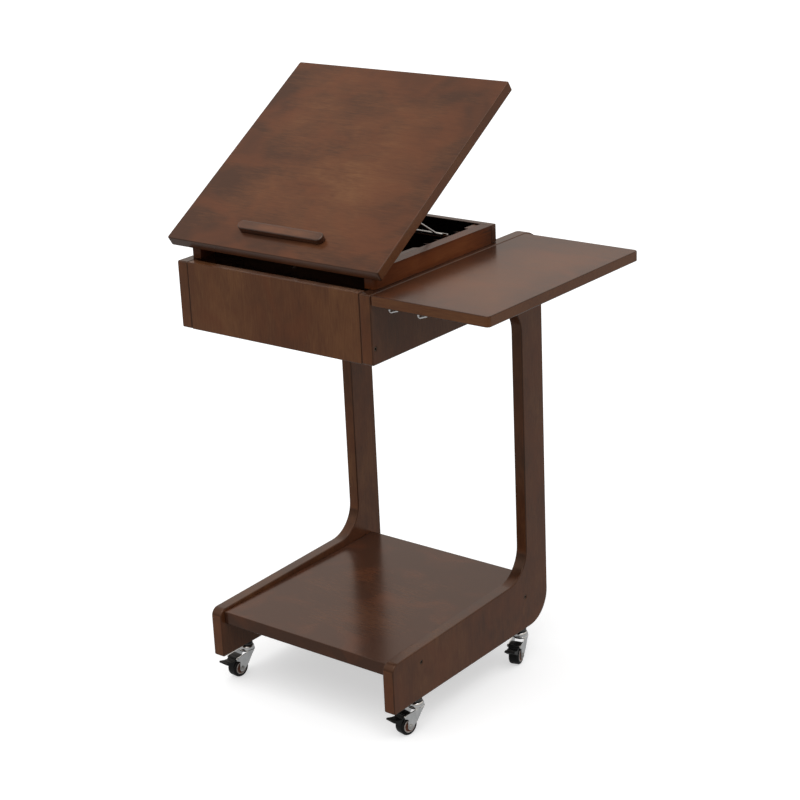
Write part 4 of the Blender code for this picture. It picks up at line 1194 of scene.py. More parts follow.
@dataclass
class Fasteners:
    """Bolts through the side frames and screws in the hardware, one mesh of each kind for each body."""

    bench: Bench
    bolt_places: tuple[Pair, ...] = ((75.5, 108.0), (340.0, 105.0), (7.2, 602.0), (293.0, 602.0))
    bolt_radius: float = 3.3
    bolt_recess: float = 0.5
    bolt_depth: float = 3.6
    bolt_chamfer: float = 0.35
    bore_play: float = 0.25
    socket_radius: float = 1.9
    socket_depth: float = 1.9
    socket_sides: int = 6
    screw_radius: float = 2.4
    screw_height: float = 0.9
    screw_sink: float = 0.2
    screw_dome: tuple[Pair, ...] = ((1.0, 0.4), (0.72, 0.9), (0.0, 1.0))
    screw_steps: int = 28
    flush_share: float = 0.75
    flush_height: float = 0.06
    cross_length: float = 2.8
    cross_width: float = 0.62
    cross_depth: float = 0.55
    flush_cross_depth: float = 0.16
    head_arris: float = 0.08
    spots: dict[tuple[Head, str], list[tuple[Vector, Vector]]] = field(default_factory=dict)

    def bolt(self, side: Side, outer: float) -> list[Shape]:
        """Put the bolts of a side frame on the list and draw the holes they sit in.

        Args:
            side: The frame's side.
            outer: Where its outer face lies on X.

        Returns:
            The shapes to cut out.
        """
        low, high = sorted((outer + side.value * CUT_MARGIN, outer - side.value * self.bolt_depth))
        seat, radius = outer - side.value * self.bolt_recess, self.bolt_radius + self.bore_play
        holes = []
        for y, z in self.bolt_places:
            holes.append(rod(radius, low, high, Axis.X, (0.0, y, z)))
            self.add(Head.BOLT, "table_frame", self.bench.table, (seat, y, z), (side.value, 0.0, 0.0))
        return holes

    def add(self, kind: Head, body: str, datum: Matrix, spot: Triple, facing: Triple) -> None:
        """Put a fastener on the list, at a spot in millimetres and facing a way in its local frame."""
        places = self.spots.setdefault((kind, body), [])
        places.append((datum @ (Vector(spot) * MM), datum.to_3x3() @ Vector(facing)))

    def bolt_head(self) -> Shape:
        """Draw the head of a bolt with its socket.

        Returns:
            The head, facing up along Z from the origin.
        """
        radius, chamfer = self.bolt_radius, self.bolt_chamfer
        floor = self.bolt_recess - self.bolt_depth
        profile = [(0.0, floor), (radius, floor), (radius, -chamfer), (radius - chamfer, 0.0), (0.0, 0.0)]
        socket = rod(self.socket_radius, -self.socket_depth, CUT_MARGIN, Axis.Z, steps=self.socket_sides)
        return carve(turned(profile, ROUND_STEPS), cuts=[socket])

    def screw_head(self, flush: bool) -> Shape:
        """Draw the head of a screw with its cross.

        Args:
            flush: True for a head that lies flush with its plate.

        Returns:
            The head, facing up along Z, with its seat at the origin.
        """
        radius, height, depth = self.screw_radius, self.screw_height, self.cross_depth
        if flush:
            radius, height, depth = radius * self.flush_share, self.flush_height, self.flush_cross_depth
        profile = [(0.0, -self.screw_sink), (radius, -self.screw_sink)]
        profile += [(radius * out, height * up) for out, up in self.screw_dome]
        half, width = self.cross_length / 2, self.cross_width / 2
        floor, top = height - depth, height + CUT_MARGIN
        cuts = [block((-x, -y, floor), (x, y, top)) for x, y in ((half, width), (width, half))]
        return carve(turned(profile, self.screw_steps), cuts=cuts)

    def build(self) -> None:
        """Set every fastener on the list with the geometry tree."""
        for (kind, body), places in self.spots.items():
            is_bolt = kind is Head.BOLT
            finish = BOLT if is_bolt else ZINC
            shape = self.bolt_head() if is_bolt else self.screw_head(kind is Head.FLUSH_SCREW)
            head = shape_object("fastener_head", shape)
            mesh = bpy.data.meshes.new("fastener_places")
            mesh.from_pydata([spot / MM for spot, _ in places], [], [])
            facings = [value for _, facing in places for value in facing]
            mesh.attributes.new("facing", "FLOAT_VECTOR", "POINT").data.foreach_set("vector", facings)
            values = {"Head": head, "Finish": self.bench.materials[finish.name]}
            shape = grown(loose_object("fastener_places", mesh), self.bench.trees["fastener_heads"], values)
            bpy.data.objects.remove(head, do_unlink=True)
            name = f"{kind.value}_heads_{body}"
            self.bench.place(name, shape, Matrix.Identity(4), body, finish, arris=self.head_arris)


# Sub-assemblies


@dataclass
class Assembly:
    """A sub-assembly that is built on the bench and puts its fasteners on their list."""

    bench: Bench
    fasteners: Fasteners


@dataclass
class SideFrames(Assembly):
    """The two C-shaped side frames, bored for the caster stems and counterbored for the bolts."""

    rail_front: float = 9.0
    rail_front_height: float = 77.5
    rail_rise: float = 8.0
    post_depth: float = 54.0
    nose_radius: float = 13.0
    inner_radius: float = 50.0
    lower_rear_radius: float = 47.0
    upper_rear_radius: float = 40.0
    corner_radius: float = 3.0
    ease_width: float = 1.9
    top_lacquer: float = 1.0
    top_facing: float = 0.25
    # How much lighter the faces that look to the front are, as painted light
    nose_stain: float = 0.02
    nose_facing: float = 0.5
    stem_bore: float = 4.25
    bore_clearance: float = 0.3

    def build(self) -> None:
        """Build both frames and put their bolts on the list."""
        underside = self.bench.reach("box_front")[0].z
        for side in Side:
            node = f"side_frame_{side.word}"
            low, high = self.bench.reach(node)
            shape = ease(prism(self.outline(low, high, underside), Axis.X, low.x, high.x), self.ease_width)
            # Painted light: faces that look to the front are lightened
            mark(shape, "stain", self.nose_stain,
                 lambda normal: normal.y < -self.nose_facing and abs(normal.x) < EDGE_ON)
            mark(shape, "arris", self.top_lacquer,
                 lambda normal: normal.z > self.top_facing and abs(normal.x) < EDGE_ON)
            outer = high.x if side is Side.RIGHT else low.x
            shape = carve(shape, cuts=self.bores(side) + self.fasteners.bolt(side, outer))
            self.bench.plank(shape, Axis.Z, Axis.Y, shaded=False)
            self.bench.place_wood(node, shape)

    def outline(self, low: Vector, high: Vector, arm_underside: float) -> list[Pair]:
        """Draw the C.

        Args:
            low: The frame's lowest corner.
            high: Its highest corner.
            arm_underside: The level of the underside of its upper arm.

        Returns:
            Points as (Y, Z).
        """
        rail_top = low.z + self.rail_front_height
        post_front = high.y - self.post_depth
        return rounded([
            (self.rail_front, low.z, self.corner_radius),
            (high.y, low.z, self.lower_rear_radius),
            (high.y, high.z, self.upper_rear_radius),
            (low.y, high.z, self.corner_radius),
            (low.y, arm_underside, self.corner_radius),
            (post_front, arm_underside, self.inner_radius),
            (post_front, rail_top + self.rail_rise, self.inner_radius),
            (self.rail_front, rail_top, self.nose_radius),
        ])

    def bores(self, side: Side) -> list[Shape]:
        """Draw the holes for the two caster stems of a side.

        Args:
            side: The side.

        Returns:
            The shapes to cut out.
        """
        corners = (Corner.FRONT_LEFT, Corner.REAR_LEFT)
        if side is Side.RIGHT:
            corners = (Corner.FRONT_RIGHT, Corner.REAR_RIGHT)
        holes = []
        for corner in corners:
            low, high = self.bench.reach(f"caster_{corner.value}_stem")
            centre = ((low.x + high.x) / 2, (low.y + high.y) / 2, 0.0)
            holes.append(rod(self.stem_bore, low.z, high.z + self.bore_clearance, Axis.Z, centre))
        return holes


@dataclass
class Boards(Assembly):
    """The plain boards of the frame: shelf, box panels and the rail across the box."""

    shelf_ease: float = 1.3
    shelf_calm: float = 0.45
    # How much darker the shelf is: partly the board's own tone, partly painted shade from lying under the box
    shelf_stain: float = -0.24
    panel_ease: float = 1.2
    panel_calm: float = 0.20
    panel_stain: float = 0.12
    thin_ease: float = 0.6
    seat_gap: float = 0.3
    slot_width: float = 7.0
    slot_depth: float = 22.0
    # How far the slotted rail is darkened, as painted shade: it stands back in the shade under the board
    slot_rail_black: float = 0.75

    def build(self) -> None:
        """Build the shelf, the box and its cross rail."""
        shape = ease(block(*self.bench.reach("bottom_shelf")), self.shelf_ease)
        # Darker shelf: own tone and painted shade from the box above
        mark(shape, "stain", self.shelf_stain)
        mark(shape, "calm", self.shelf_calm)
        self.bench.plank(shape, Axis.X, Axis.Y)
        self.bench.place_wood("bottom_shelf", shape)
        bottom = self.bench.reach("box_bottom")
        for node, inner in (("box_front", 1), ("box_back", 0)):
            self.build_panel(node, inner, bottom)
        shape = ease(block(*bottom), self.thin_ease)
        # Painted shade: the bottom board takes the almost unlit dark finish, for the shade within the box
        self.bench.place("box_bottom_lining", shape, self.bench.table, "table_frame", SHADE_DARK_BOTTOM, ["box_bottom"])
        self.build_cross_rail()

    def build_panel(self, node: str, inner: int, bottom: tuple[Vector, Vector]) -> None:
        """Build a grooved panel of the box.

        Args:
            node: The panel's node.
            inner: Which of its two corners lies on the inside: 0 for the low one, 1 for the high one.
            bottom: The corners of the bottom that the groove holds.
        """
        corners = self.bench.reach(node)
        low, high = corners
        face, outer = corners[inner].y, corners[1 - inner].y
        facing = 1.0 if inner else -1.0
        depth = bottom[1 - inner].y - facing * self.seat_gap
        groove_low, groove_high = bottom[0].z - self.seat_gap, bottom[1].z + self.seat_gap
        outline = [
            (outer, low.z), (face, low.z), (face, groove_low), (depth, groove_low),
            (depth, groove_high), (face, groove_high), (face, high.z), (outer, high.z),
        ]
        shape = ease(prism(outline, Axis.X, low.x, high.x), self.panel_ease)
        # Painted shade: the panel's inner face is darkened almost to nothing, for the shade within the box
        # under the board
        mark(shape, "inside", 1.0, lambda normal: normal.y * facing > FACING)
        mark(shape, "stain", self.panel_stain)
        mark(shape, "calm", self.panel_calm)
        self.bench.plank(shape, Axis.Z, Axis.X, shaded=False)
        self.bench.place_wood(node, shape)

    def build_cross_rail(self) -> None:
        """Build the rail behind the front opening, with its slot, darkened as painted shade for the shade it
        stands in.
        """
        low, high = self.bench.reach("box_cross_rail")
        half, floor = self.slot_width / 2, high.z - self.slot_depth
        outline = [
            (low.x, low.z), (high.x, low.z), (high.x, high.z), (half, high.z),
            (half, floor), (-half, floor), (-half, high.z), (low.x, high.z),
        ]
        shape = ease(prism(outline, Axis.Y, low.y, high.y), self.thin_ease)
        # Painted shade: the whole rail is darkened most of the way, for the shade it stands in
        mark(shape, "inside", self.slot_rail_black)
        self.bench.plank(shape, Axis.X, Axis.Z)
        self.bench.place_wood("box_cross_rail", shape)


@dataclass
class RatchetFrame(Assembly):
    """The rails that stand on the box and the notched strips inside them."""

    rail_ease: float = 1.2
    # How much lighter the rails are stained, as painted bounce light from the leaf below
    rail_stain: float = 0.20
    nose_radius: float = 5.0
    knuckle_clearance: float = 0.3
    strip_ease: float = 0.35
    strip_ease_steps: int = 2
    tooth_count: int = 5
    tooth_seat: int = 3
    tooth_pitch: float = 24.0
    tooth_depth: float = 5.0
    seat_gap: float = 0.3

    def build(self) -> None:
        """Build the three rails and the two strips."""
        for side in Side:
            self.build_rail(side)
            self.build_strip(side)
        shape = ease(block(*self.bench.reach("ratchet_rear_rail")), self.rail_ease)
        # Painted shade: the rear rail's inner face is darkened almost to nothing, for the shade within the
        # box
        mark(shape, "inside", 1.0, lambda normal: normal.y < -FACING)
        self.bench.plank(shape, Axis.X, Axis.Z)
        self.bench.place_wood("ratchet_rear_rail", shape)

    def build_rail(self, side: Side) -> None:
        """Build a side rail with its rounded nose and the mortise for its hinge.

        Args:
            side: The rail's side.
        """
        node = f"ratchet_rail_{side.word}"
        low, high = self.bench.reach(node)
        base = self.bench.reach(f"board_hinge_base_{side.word}")
        pin = self.bench.reach(f"board_hinge_pin_{side.word}")
        inner, outer = (low.x, high.x) if side is Side.RIGHT else (high.x, low.x)
        outline = rounded([
            (inner, low.y, 0.0), (outer, low.y, self.nose_radius), (outer, high.y, 0.0), (inner, high.y, 0.0),
        ])
        floor = base[0].z - self.knuckle_clearance
        rear = (pin[0].y + pin[1].y) / 2 + (high.z - floor)
        mortise = block(
            (low.x - CUT_MARGIN, low.y - CUT_MARGIN, floor), (high.x + CUT_MARGIN, rear, high.z + CUT_MARGIN))
        shape = carve(prism(outline, Axis.Z, low.z, high.z), cuts=[mortise])
        # Painted bounce light: the rails are lightened here and reddened by their finish
        mark(ease(shape, self.rail_ease), "stain", self.rail_stain)
        self.bench.plank(shape, Axis.Y, Axis.Z)
        self.bench.place_wood(node, shape, RAIL_BOUNCE_LIT_WALNUT)

    def build_strip(self, side: Side) -> None:
        """Build a notched strip: ramps that fall to the back, each ending at a stop.

        Args:
            side: The strip's side.
        """
        node = f"ratchet_strip_{side.word}"
        low, high = self.bench.reach(node)
        seat_stop = self.bench.reach("support_bail")[1].y + self.seat_gap
        first_stop = seat_stop + (1 - self.tooth_seat) * self.tooth_pitch
        outline = [(low.y, low.z), (high.y, low.z), (high.y, high.z)]
        for number in reversed(range(self.tooth_count)):
            stop = first_stop + number * self.tooth_pitch
            outline += [(stop, high.z), (stop, high.z - self.tooth_depth)]
        outline += [(first_stop - self.tooth_pitch, high.z), (low.y, high.z)]
        shape = ease(prism(outline, Axis.X, low.x, high.x), self.strip_ease, self.strip_ease_steps)
        # Painted shade: the strip's inner face and its stop faces are darkened almost to nothing, for the
        # shade under the board
        mark(shape, "inside", 1.0, lambda normal: normal.x * side.value < -FACING or normal.y < -FACING)
        self.bench.plank(shape, Axis.Y, Axis.Z, shaded=False)
        self.bench.place_wood(node, shape)


@dataclass
class TiltBoard(Assembly):
    """The tilting board with its book ledge, bumpers and hinges."""

    corner_radius: float = 3.0
    board_ease: float = 1.4
    end_stain: float = 0.45
    # How much lighter the board's front edge is, as painted light
    front_stain: float = 0.25
    ledge_ease: float = 1.5
    ledge_ease_steps: int = 4
    # How much darker the ledge's walls are than its lit top, as painted shade
    ledge_stain: float = -0.35
    ledge_side: float = 0.3
    bumper_ease: float = 0.9
    bumper_steps: int = 40
    hinge_plate: float = 1.1
    hinge_gap: float = 0.2
    hinge_setback: float = 0.7
    hinge_seat: float = 0.3
    knuckles: int = 3
    knuckle_lap: float = 1.0
    screw_shares: Pair = (0.3, 0.75)
    pin_clearance: float = 0.15
    pin_radius: float = 1.0
    pin_head: float = 0.8
    metal_arris: float = 0.25

    def build(self) -> None:
        """Build everything that is hinged at the front of the ratchet frame."""
        low, high = self.bench.reach("tilt_board", self.bench.board)
        corners = ((low.x, low.y), (high.x, low.y), (high.x, high.y), (low.x, high.y))
        outline = rounded([(*corner, self.corner_radius) for corner in corners])
        shape = ease(prism(outline, Axis.Z, low.z, high.z), self.board_ease)
        mark(shape, "stain", self.end_stain, lambda normal: abs(normal.x) > FACING)
        # Painted light: the front edge face is lightened
        mark(shape, "stain", self.front_stain, lambda normal: normal.y < -FACING)
        self.bench.plank(shape, Axis.X, Axis.Y)
        self.bench.place("tilt_board_wood", shape, self.bench.board, "tilt_board", WALNUT, ["tilt_board"])
        self.build_ledge()
        for side in Side:
            self.build_bumper(side)
            for plate in HingePlate:
                self.build_plate(side, plate)
            pin = f"board_hinge_pin_{side.word}"
            self.bench.place_pin(
                pin, self.bench.table, Axis.X, self.pin_radius, self.pin_head, self.metal_arris)

    def build_ledge(self) -> None:
        """Build the bar that stops a book from sliding off."""
        low, high = self.bench.reach("book_ledge", self.bench.board)
        radius, middle = (high.y - low.y) / 2, (high.y + low.y) / 2
        outline = arc((high.x - radius, middle), radius, -90.0, 90.0)
        outline += arc((low.x + radius, middle), radius, 90.0, 270.0)
        shape = ease(prism(outline, Axis.Z, low.z, high.z), self.ledge_ease, self.ledge_ease_steps)
        # Painted shade: the ledge's walls are darkened against its top
        mark(shape, "stain", self.ledge_stain, lambda normal: abs(normal.z) < self.ledge_side)
        self.bench.plank(shape, Axis.X, Axis.Y)
        self.bench.place(
            "book_ledge_wood", shape, self.bench.board, "tilt_board", LEDGE_WALNUT, ["book_ledge"])

    def build_bumper(self, side: Side) -> None:
        """Turn the rubber stud that the closed board rests on.

        Args:
            side: The stud's side.
        """
        node = f"board_bumper_{side.word}"
        low, high = self.bench.reach(node, self.bench.board)
        radius, round_off = (high.x - low.x) / 2, self.bumper_ease
        profile = [(0.0, high.z), (radius, high.z)]
        profile += arc((radius - round_off, low.z + round_off), round_off, 0.0, -90.0, step_deg=15.0)
        profile.append((0.0, low.z))
        centre = ((low.x + high.x) / 2, (low.y + high.y) / 2, 0.0)
        shape = moved(turned(profile, self.bumper_steps), centre)
        self.bench.place(f"{node}_rubber", shape, self.bench.board, "tilt_board", BUMPER, [node])

    def build_plate(self, side: Side, plate: HingePlate) -> None:
        """Build a plate of a butt hinge with its knuckles and put its screws on the list.

        Args:
            side: The hinge's side.
            plate: The base, which lies on the rail, or the leaf, which lies under the board.
        """
        is_base = plate is HingePlate.BASE
        datum, body = (self.bench.table, "table_frame") if is_base else (self.bench.board, "tilt_board")
        node = f"board_hinge_{plate.value}_{side.word}"
        low, high = self.bench.reach(node, datum)
        pin_low, pin_high = self.bench.reach(f"board_hinge_pin_{side.word}", datum)
        axis = (0.0, (pin_low.y + pin_high.y) / 2, (pin_low.z + pin_high.z) / 2)
        radius = axis[1] - low.y
        floor = high.z - self.hinge_plate
        if is_base:
            floor = self.bench.reach(f"ratchet_rail_{side.word}", datum)[1].z + self.hinge_seat
        top = floor + self.hinge_plate
        start = axis[1] + radius + self.hinge_setback
        middle, half = (low.x + high.x) / 2, (high.x - low.x) / (2 * self.knuckles)
        spans = [(middle - half, middle + half)]
        if is_base:
            spans = [(low.x, middle - half - self.hinge_gap), (middle + half + self.hinge_gap, high.x)]
        joins = []
        for near, far in spans:
            joins.append(block((near, axis[1], floor), (far, start + self.knuckle_lap, top)))
            joins.append(rod(radius, near, far, Axis.X, axis))
        bore_radius = self.pin_radius + self.pin_clearance
        bore = rod(bore_radius, low.x - CUT_MARGIN, high.x + CUT_MARGIN, Axis.X, axis)
        shape = carve(block((low.x, start, floor), (high.x, high.y, top)), joins, [bore])
        self.bench.place(f"{node}_steel", shape, datum, body, ZINC, [node], self.metal_arris)
        level, facing = (top, 1.0) if is_base else (floor, -1.0)
        for share in self.screw_shares:
            spot = (middle, start + (high.y - start) * share, level)
            self.fasteners.add(Head.FLUSH_SCREW, body, datum, spot, (0.0, 0.0, facing))


@dataclass
class SupportBail(Assembly):
    """The wire bail under the board and the clips that hold it."""

    wire_radius: float = 1.6
    bend_radius: float = 7.0
    bend_step_deg: float = 7.5
    leg_spread: float = 125.0
    crossbar_radius: float = 2.0
    crossbar_ease: float = 0.7
    crossbar_steps: int = 28
    clip_gauge: float = 0.8
    clip_play: float = 0.3
    metal_arris: float = 0.15

    def build(self) -> None:
        """Bend the bail and press its clips."""
        low, high = self.bench.reach("support_bail", self.bench.bail)
        leg = high.y - self.crossbar_radius
        spread, bend = self.leg_spread, self.bend_radius
        bends = arc((spread - bend, bend), bend, 0.0, -90.0, self.bend_step_deg)
        bends += arc((bend - spread, bend), bend, -90.0, -180.0, self.bend_step_deg)
        path = [(x, y, 0.0) for x, y in ((spread, leg), *bends, (-spread, leg))]
        wire = self.bench.wire(path, self.wire_radius, CHROME)
        radius, round_off = self.crossbar_radius, self.crossbar_ease
        tip = arc((radius - round_off, low.x + round_off), round_off, 270.0, 360.0, step_deg=22.5)
        crossbar = turned(mirrored([(0.0, low.x), *tip]), self.crossbar_steps, Axis.X)
        shape = carve(wire, [moved(crossbar, (0.0, leg, 0.0))])
        self.bench.place(
            "support_bail_wire", shape, self.bench.bail, "support_bail", CHROME, ["support_bail"])
        for side in Side:
            self.build_clip(side)

    def build_clip(self, side: Side) -> None:
        """Press a saddle clip and put its screws on the list.

        Args:
            side: The clip's side.
        """
        node = f"bail_clip_{side.word}"
        low, high = self.bench.reach(node, self.bench.board)
        middle = (low.y + high.y) / 2
        inner = self.wire_radius + self.clip_play
        outer = inner + self.clip_gauge
        centre = (middle, low.z + outer)
        tab_low = high.z - self.clip_gauge
        outline = [(low.y, tab_low), (middle - outer, tab_low)]
        outline += arc(centre, outer, 180.0, 360.0, step_deg=10.0)
        outline += [(middle + outer, tab_low), (high.y, tab_low), (high.y, high.z), (middle + inner, high.z)]
        outline += arc(centre, inner, 360.0, 180.0, step_deg=10.0)
        outline += [(middle - inner, high.z), (low.y, high.z)]
        shape = prism(outline, Axis.X, low.x, high.x)
        self.bench.place(
            f"{node}_steel", shape, self.bench.board, "tilt_board", CHROME, [node], self.metal_arris)
        for y in ((low.y + middle - outer) / 2, (high.y + middle + outer) / 2):
            spot = ((low.x + high.x) / 2, y, tab_low)
            self.fasteners.add(Head.SCREW, "tilt_board", self.bench.board, spot, (0.0, 0.0, -1.0))


@dataclass
class DropLeaf(Assembly):
    """The leaf on the right side with its hooks and folding brackets."""

    outer_radius: float = 6.0
    inner_radius: float = 3.0
    leaf_ease: float = 1.4
    leaf_calm: float = 0.35
    edge_stain: float = 0.38
    wire_radius: float = 1.5
    flange_radius: float = 4.6
    flange: float = 1.4
    flange_ease: float = 0.2
    flange_wall: float = 0.6
    flange_crown: float = 0.72
    hook_drop: float = 10.5
    hook_bend: float = 3.0
    hook_arm: float = 11.0
    hook_rise_deg: float = 20.0
    gauge: float = 2.0
    ear_spread: float = 8.3
    ear_length: float = 24.0
    ear_gap: float = 0.3
    ear_radius: float = 7.0
    base_ear_deg: Pair = (-60.0, 90.0)
    base_screws: Pair = (8.0, 24.0)
    base_screw_spread: float = 0.72
    arm_ear_deg: Pair = (150.0, 300.0)
    arm_length: float = 60.0
    arm_taper: float = 30.0
    arm_screws: Pair = (8.0, 20.0)
    arm_screw_spread: float = 0.9
    pin_radius: float = 2.5
    pin_head: float = 1.4
    metal_arris: float = 0.35

    def build(self) -> None:
        """Build the leaf, its hooks and its brackets."""
        low, high = self.bench.reach("drop_leaf", self.bench.leaf)
        outline = rounded([
            (low.x, low.y, self.inner_radius), (high.x, low.y, self.outer_radius),
            (high.x, high.y, self.outer_radius), (low.x, high.y, self.inner_radius),
        ])
        shape = ease(prism(outline, Axis.Z, low.z, high.z), self.leaf_ease)
        mark(shape, "calm", self.leaf_calm)
        mark(shape, "stain", self.edge_stain, lambda normal: abs(normal.z) < EDGE_ON)
        self.bench.plank(shape, Axis.X, Axis.Y)
        self.bench.place("drop_leaf_wood", shape, self.bench.leaf, "drop_leaf", WALNUT, ["drop_leaf"])
        for which in ("inner", "outer"):
            self.build_hook(f"leaf_hook_{which}")
        for which in ("front", "rear"):
            pin = f"leaf_bracket_pin_{which}"
            pin_low, pin_high = self.bench.reach(pin, self.bench.leaf)
            seat = self.bench.leaf @ Matrix.Translation((0.0, (pin_low.y + pin_high.y) / 2 * MM, 0.0))
            self.build_base(which, seat)
            self.build_arm(which, seat)
            self.bench.place_pin(pin, seat, Axis.Y, self.pin_radius, self.pin_head, self.metal_arris)

    def build_hook(self, node: str) -> None:
        """Bend a wire hook that hangs from its flange and opens to the right.

        Args:
            node: The hook's node.
        """
        low, high = self.bench.reach(node, self.bench.leaf)
        bend, rise = self.hook_bend, math.radians(self.hook_rise_deg)
        curve = arc((bend, bend - self.hook_drop), bend, 180.0, 270.0 + self.hook_rise_deg, step_deg=8.0)
        end = (curve[-1][0] + self.hook_arm * math.cos(rise), curve[-1][1] + self.hook_arm * math.sin(rise))
        path = [(x, 0.0, z) for x, z in ((0.0, -self.flange / 2), *curve, end)]
        wire = self.bench.wire(path, self.wire_radius, CHROME, tip=True)
        radius, thick = self.flange_radius, self.flange
        profile = [(0.0, 0.0), (radius - self.flange_ease, 0.0), (radius, -self.flange_ease)]
        profile += [(radius, -thick * self.flange_wall), (radius * self.flange_crown, -thick), (0.0, -thick)]
        shape = carve(turned(profile, ROUND_STEPS), [wire])
        moved(shape, (low.x + radius, (low.y + high.y) / 2, high.z))
        self.bench.place(f"{node}_wire", shape, self.bench.leaf, "drop_leaf", CHROME, [node])

    def build_base(self, which: str, seat: Matrix) -> None:
        """Press the base of a folding bracket, which is screwed to the side frame.

        Args:
            which: The bracket: front or rear.
            seat: The bracket's local frame.
        """
        node = f"leaf_bracket_base_{which}"
        low, high = self.bench.reach(node, seat)
        wall, core = low.x + self.gauge, low.x + self.gauge / 2
        outer_ear = self.ear_spread + self.gauge
        outline = [(core, high.z - self.ear_length)]
        outline += arc((0.0, 0.0), self.ear_radius, *self.base_ear_deg)
        outline.append((core, high.z))
        ears = [prism(outline, Axis.Y, *side.span(self.ear_spread, outer_ear)) for side in Side]
        reach = outer_ear + CUT_MARGIN
        hole = rod(self.pin_radius + self.ear_gap, -reach, reach, Axis.Y)
        shape = carve(block(low, (wall, high.y, high.z)), ears, [hole])
        self.bench.place(f"{node}_steel", shape, seat, "table_frame", ZINC, [node], self.metal_arris)
        for side in Side:
            for height in self.base_screws:
                spot = (wall, side.value * self.ear_spread * self.base_screw_spread, low.z + height)
                self.fasteners.add(Head.SCREW, "table_frame", seat, spot, (1.0, 0.0, 0.0))

    def build_arm(self, which: str, seat: Matrix) -> None:
        """Press the arm of a folding bracket, which is screwed under the leaf.

        Args:
            which: The bracket: front or rear.
            seat: The bracket's local frame.
        """
        node = f"leaf_bracket_arm_{which}"
        low, high = self.bench.reach(node, seat)
        floor, back = high.z - self.gauge, high.x - self.arm_length
        outer_ear = self.ear_spread - self.ear_gap
        outline = arc((0.0, 0.0), self.ear_radius, *self.arm_ear_deg)
        outline += [(self.arm_taper, floor), (self.arm_taper, high.z), (back, high.z)]
        ears = [prism(outline, Axis.Y, *side.span(outer_ear - self.gauge, outer_ear)) for side in Side]
        reach = outer_ear + CUT_MARGIN
        hole = rod(self.pin_radius + self.ear_gap, -reach, reach, Axis.Y)
        shape = carve(block((back, low.y, floor), high), ears, [hole])
        self.bench.place(f"{node}_steel", shape, seat, "drop_leaf", ZINC, [node], self.metal_arris)
        for side in Side:
            for inset in self.arm_screws:
                spot = (high.x - inset, side.value * self.ear_spread * self.arm_screw_spread, floor)
                self.fasteners.add(Head.SCREW, "drop_leaf", seat, spot, (0.0, 0.0, -1.0))


# Casters


@dataclass
class Caster:
    """A caster: where it stands, how its moving pieces lie in its own frame and the sizes they share."""

    bench: Bench
    corner: Corner
    axle_radius: float = 2.2
    axle_play: float = 0.3
    fork_gauge: float = 1.6
    pedal_pin: float = 1.4
    hood_step_deg: float = 4.0
    name: str = field(init=False)
    swivel: str = field(init=False)
    wheel: str = field(init=False)
    pedal: str = field(init=False)
    datum: Matrix = field(init=False)
    axle: Pair = field(init=False)
    pivot: Pair = field(init=False)
    cheek_outer: float = field(init=False)
    fork_top: float = field(init=False)

    def __post_init__(self) -> None:
        """Take the caster's frame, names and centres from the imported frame."""
        word = self.corner.value
        self.name = f"caster_{word}"
        self.swivel, self.wheel, self.pedal = (f"{kind}_{word}" for kind in ("swivel", "wheel", "pedal"))
        stem, spin, press = (
            self.bench.joint(f"{motion}_{word}") for motion in ("swivel_turn", "wheel_spin", "pedal_press"))
        turn = math.atan2(spin["axis"][1], spin["axis"][0])
        self.datum = Matrix.Translation((*stem["pos_m"][:2], 0.0)) @ Matrix.Rotation(turn, 4, "Z")
        inverse = self.datum.inverted()
        centres = (inverse @ Vector(joint["pos_m"]) / MM for joint in (spin, press))
        self.axle, self.pivot = (tuple(centre[1:]) for centre in centres)
        self.cheek_outer = self.bench.reach(f"{self.name}_pedal", self.datum)[1].x
        self.fork_top = self.bench.reach(f"{self.name}_fork", self.datum)[1].z

    def around_axle(self, angle_deg: float, radius: float) -> Pair:
        """Return a point (Y, Z) at an angle above the front of the wheel, about the axle."""
        angle = math.radians(angle_deg)
        return (self.axle[0] - radius * math.cos(angle), self.axle[1] + radius * math.sin(angle))

    def hood_arc(self, start_deg: float, end_deg: float, radius: float) -> list[Pair]:
        """Return points along an arc about the axle, from one angle above the front to another."""
        return arc(self.axle, radius, 180.0 - start_deg, 180.0 - end_deg, self.hood_step_deg)


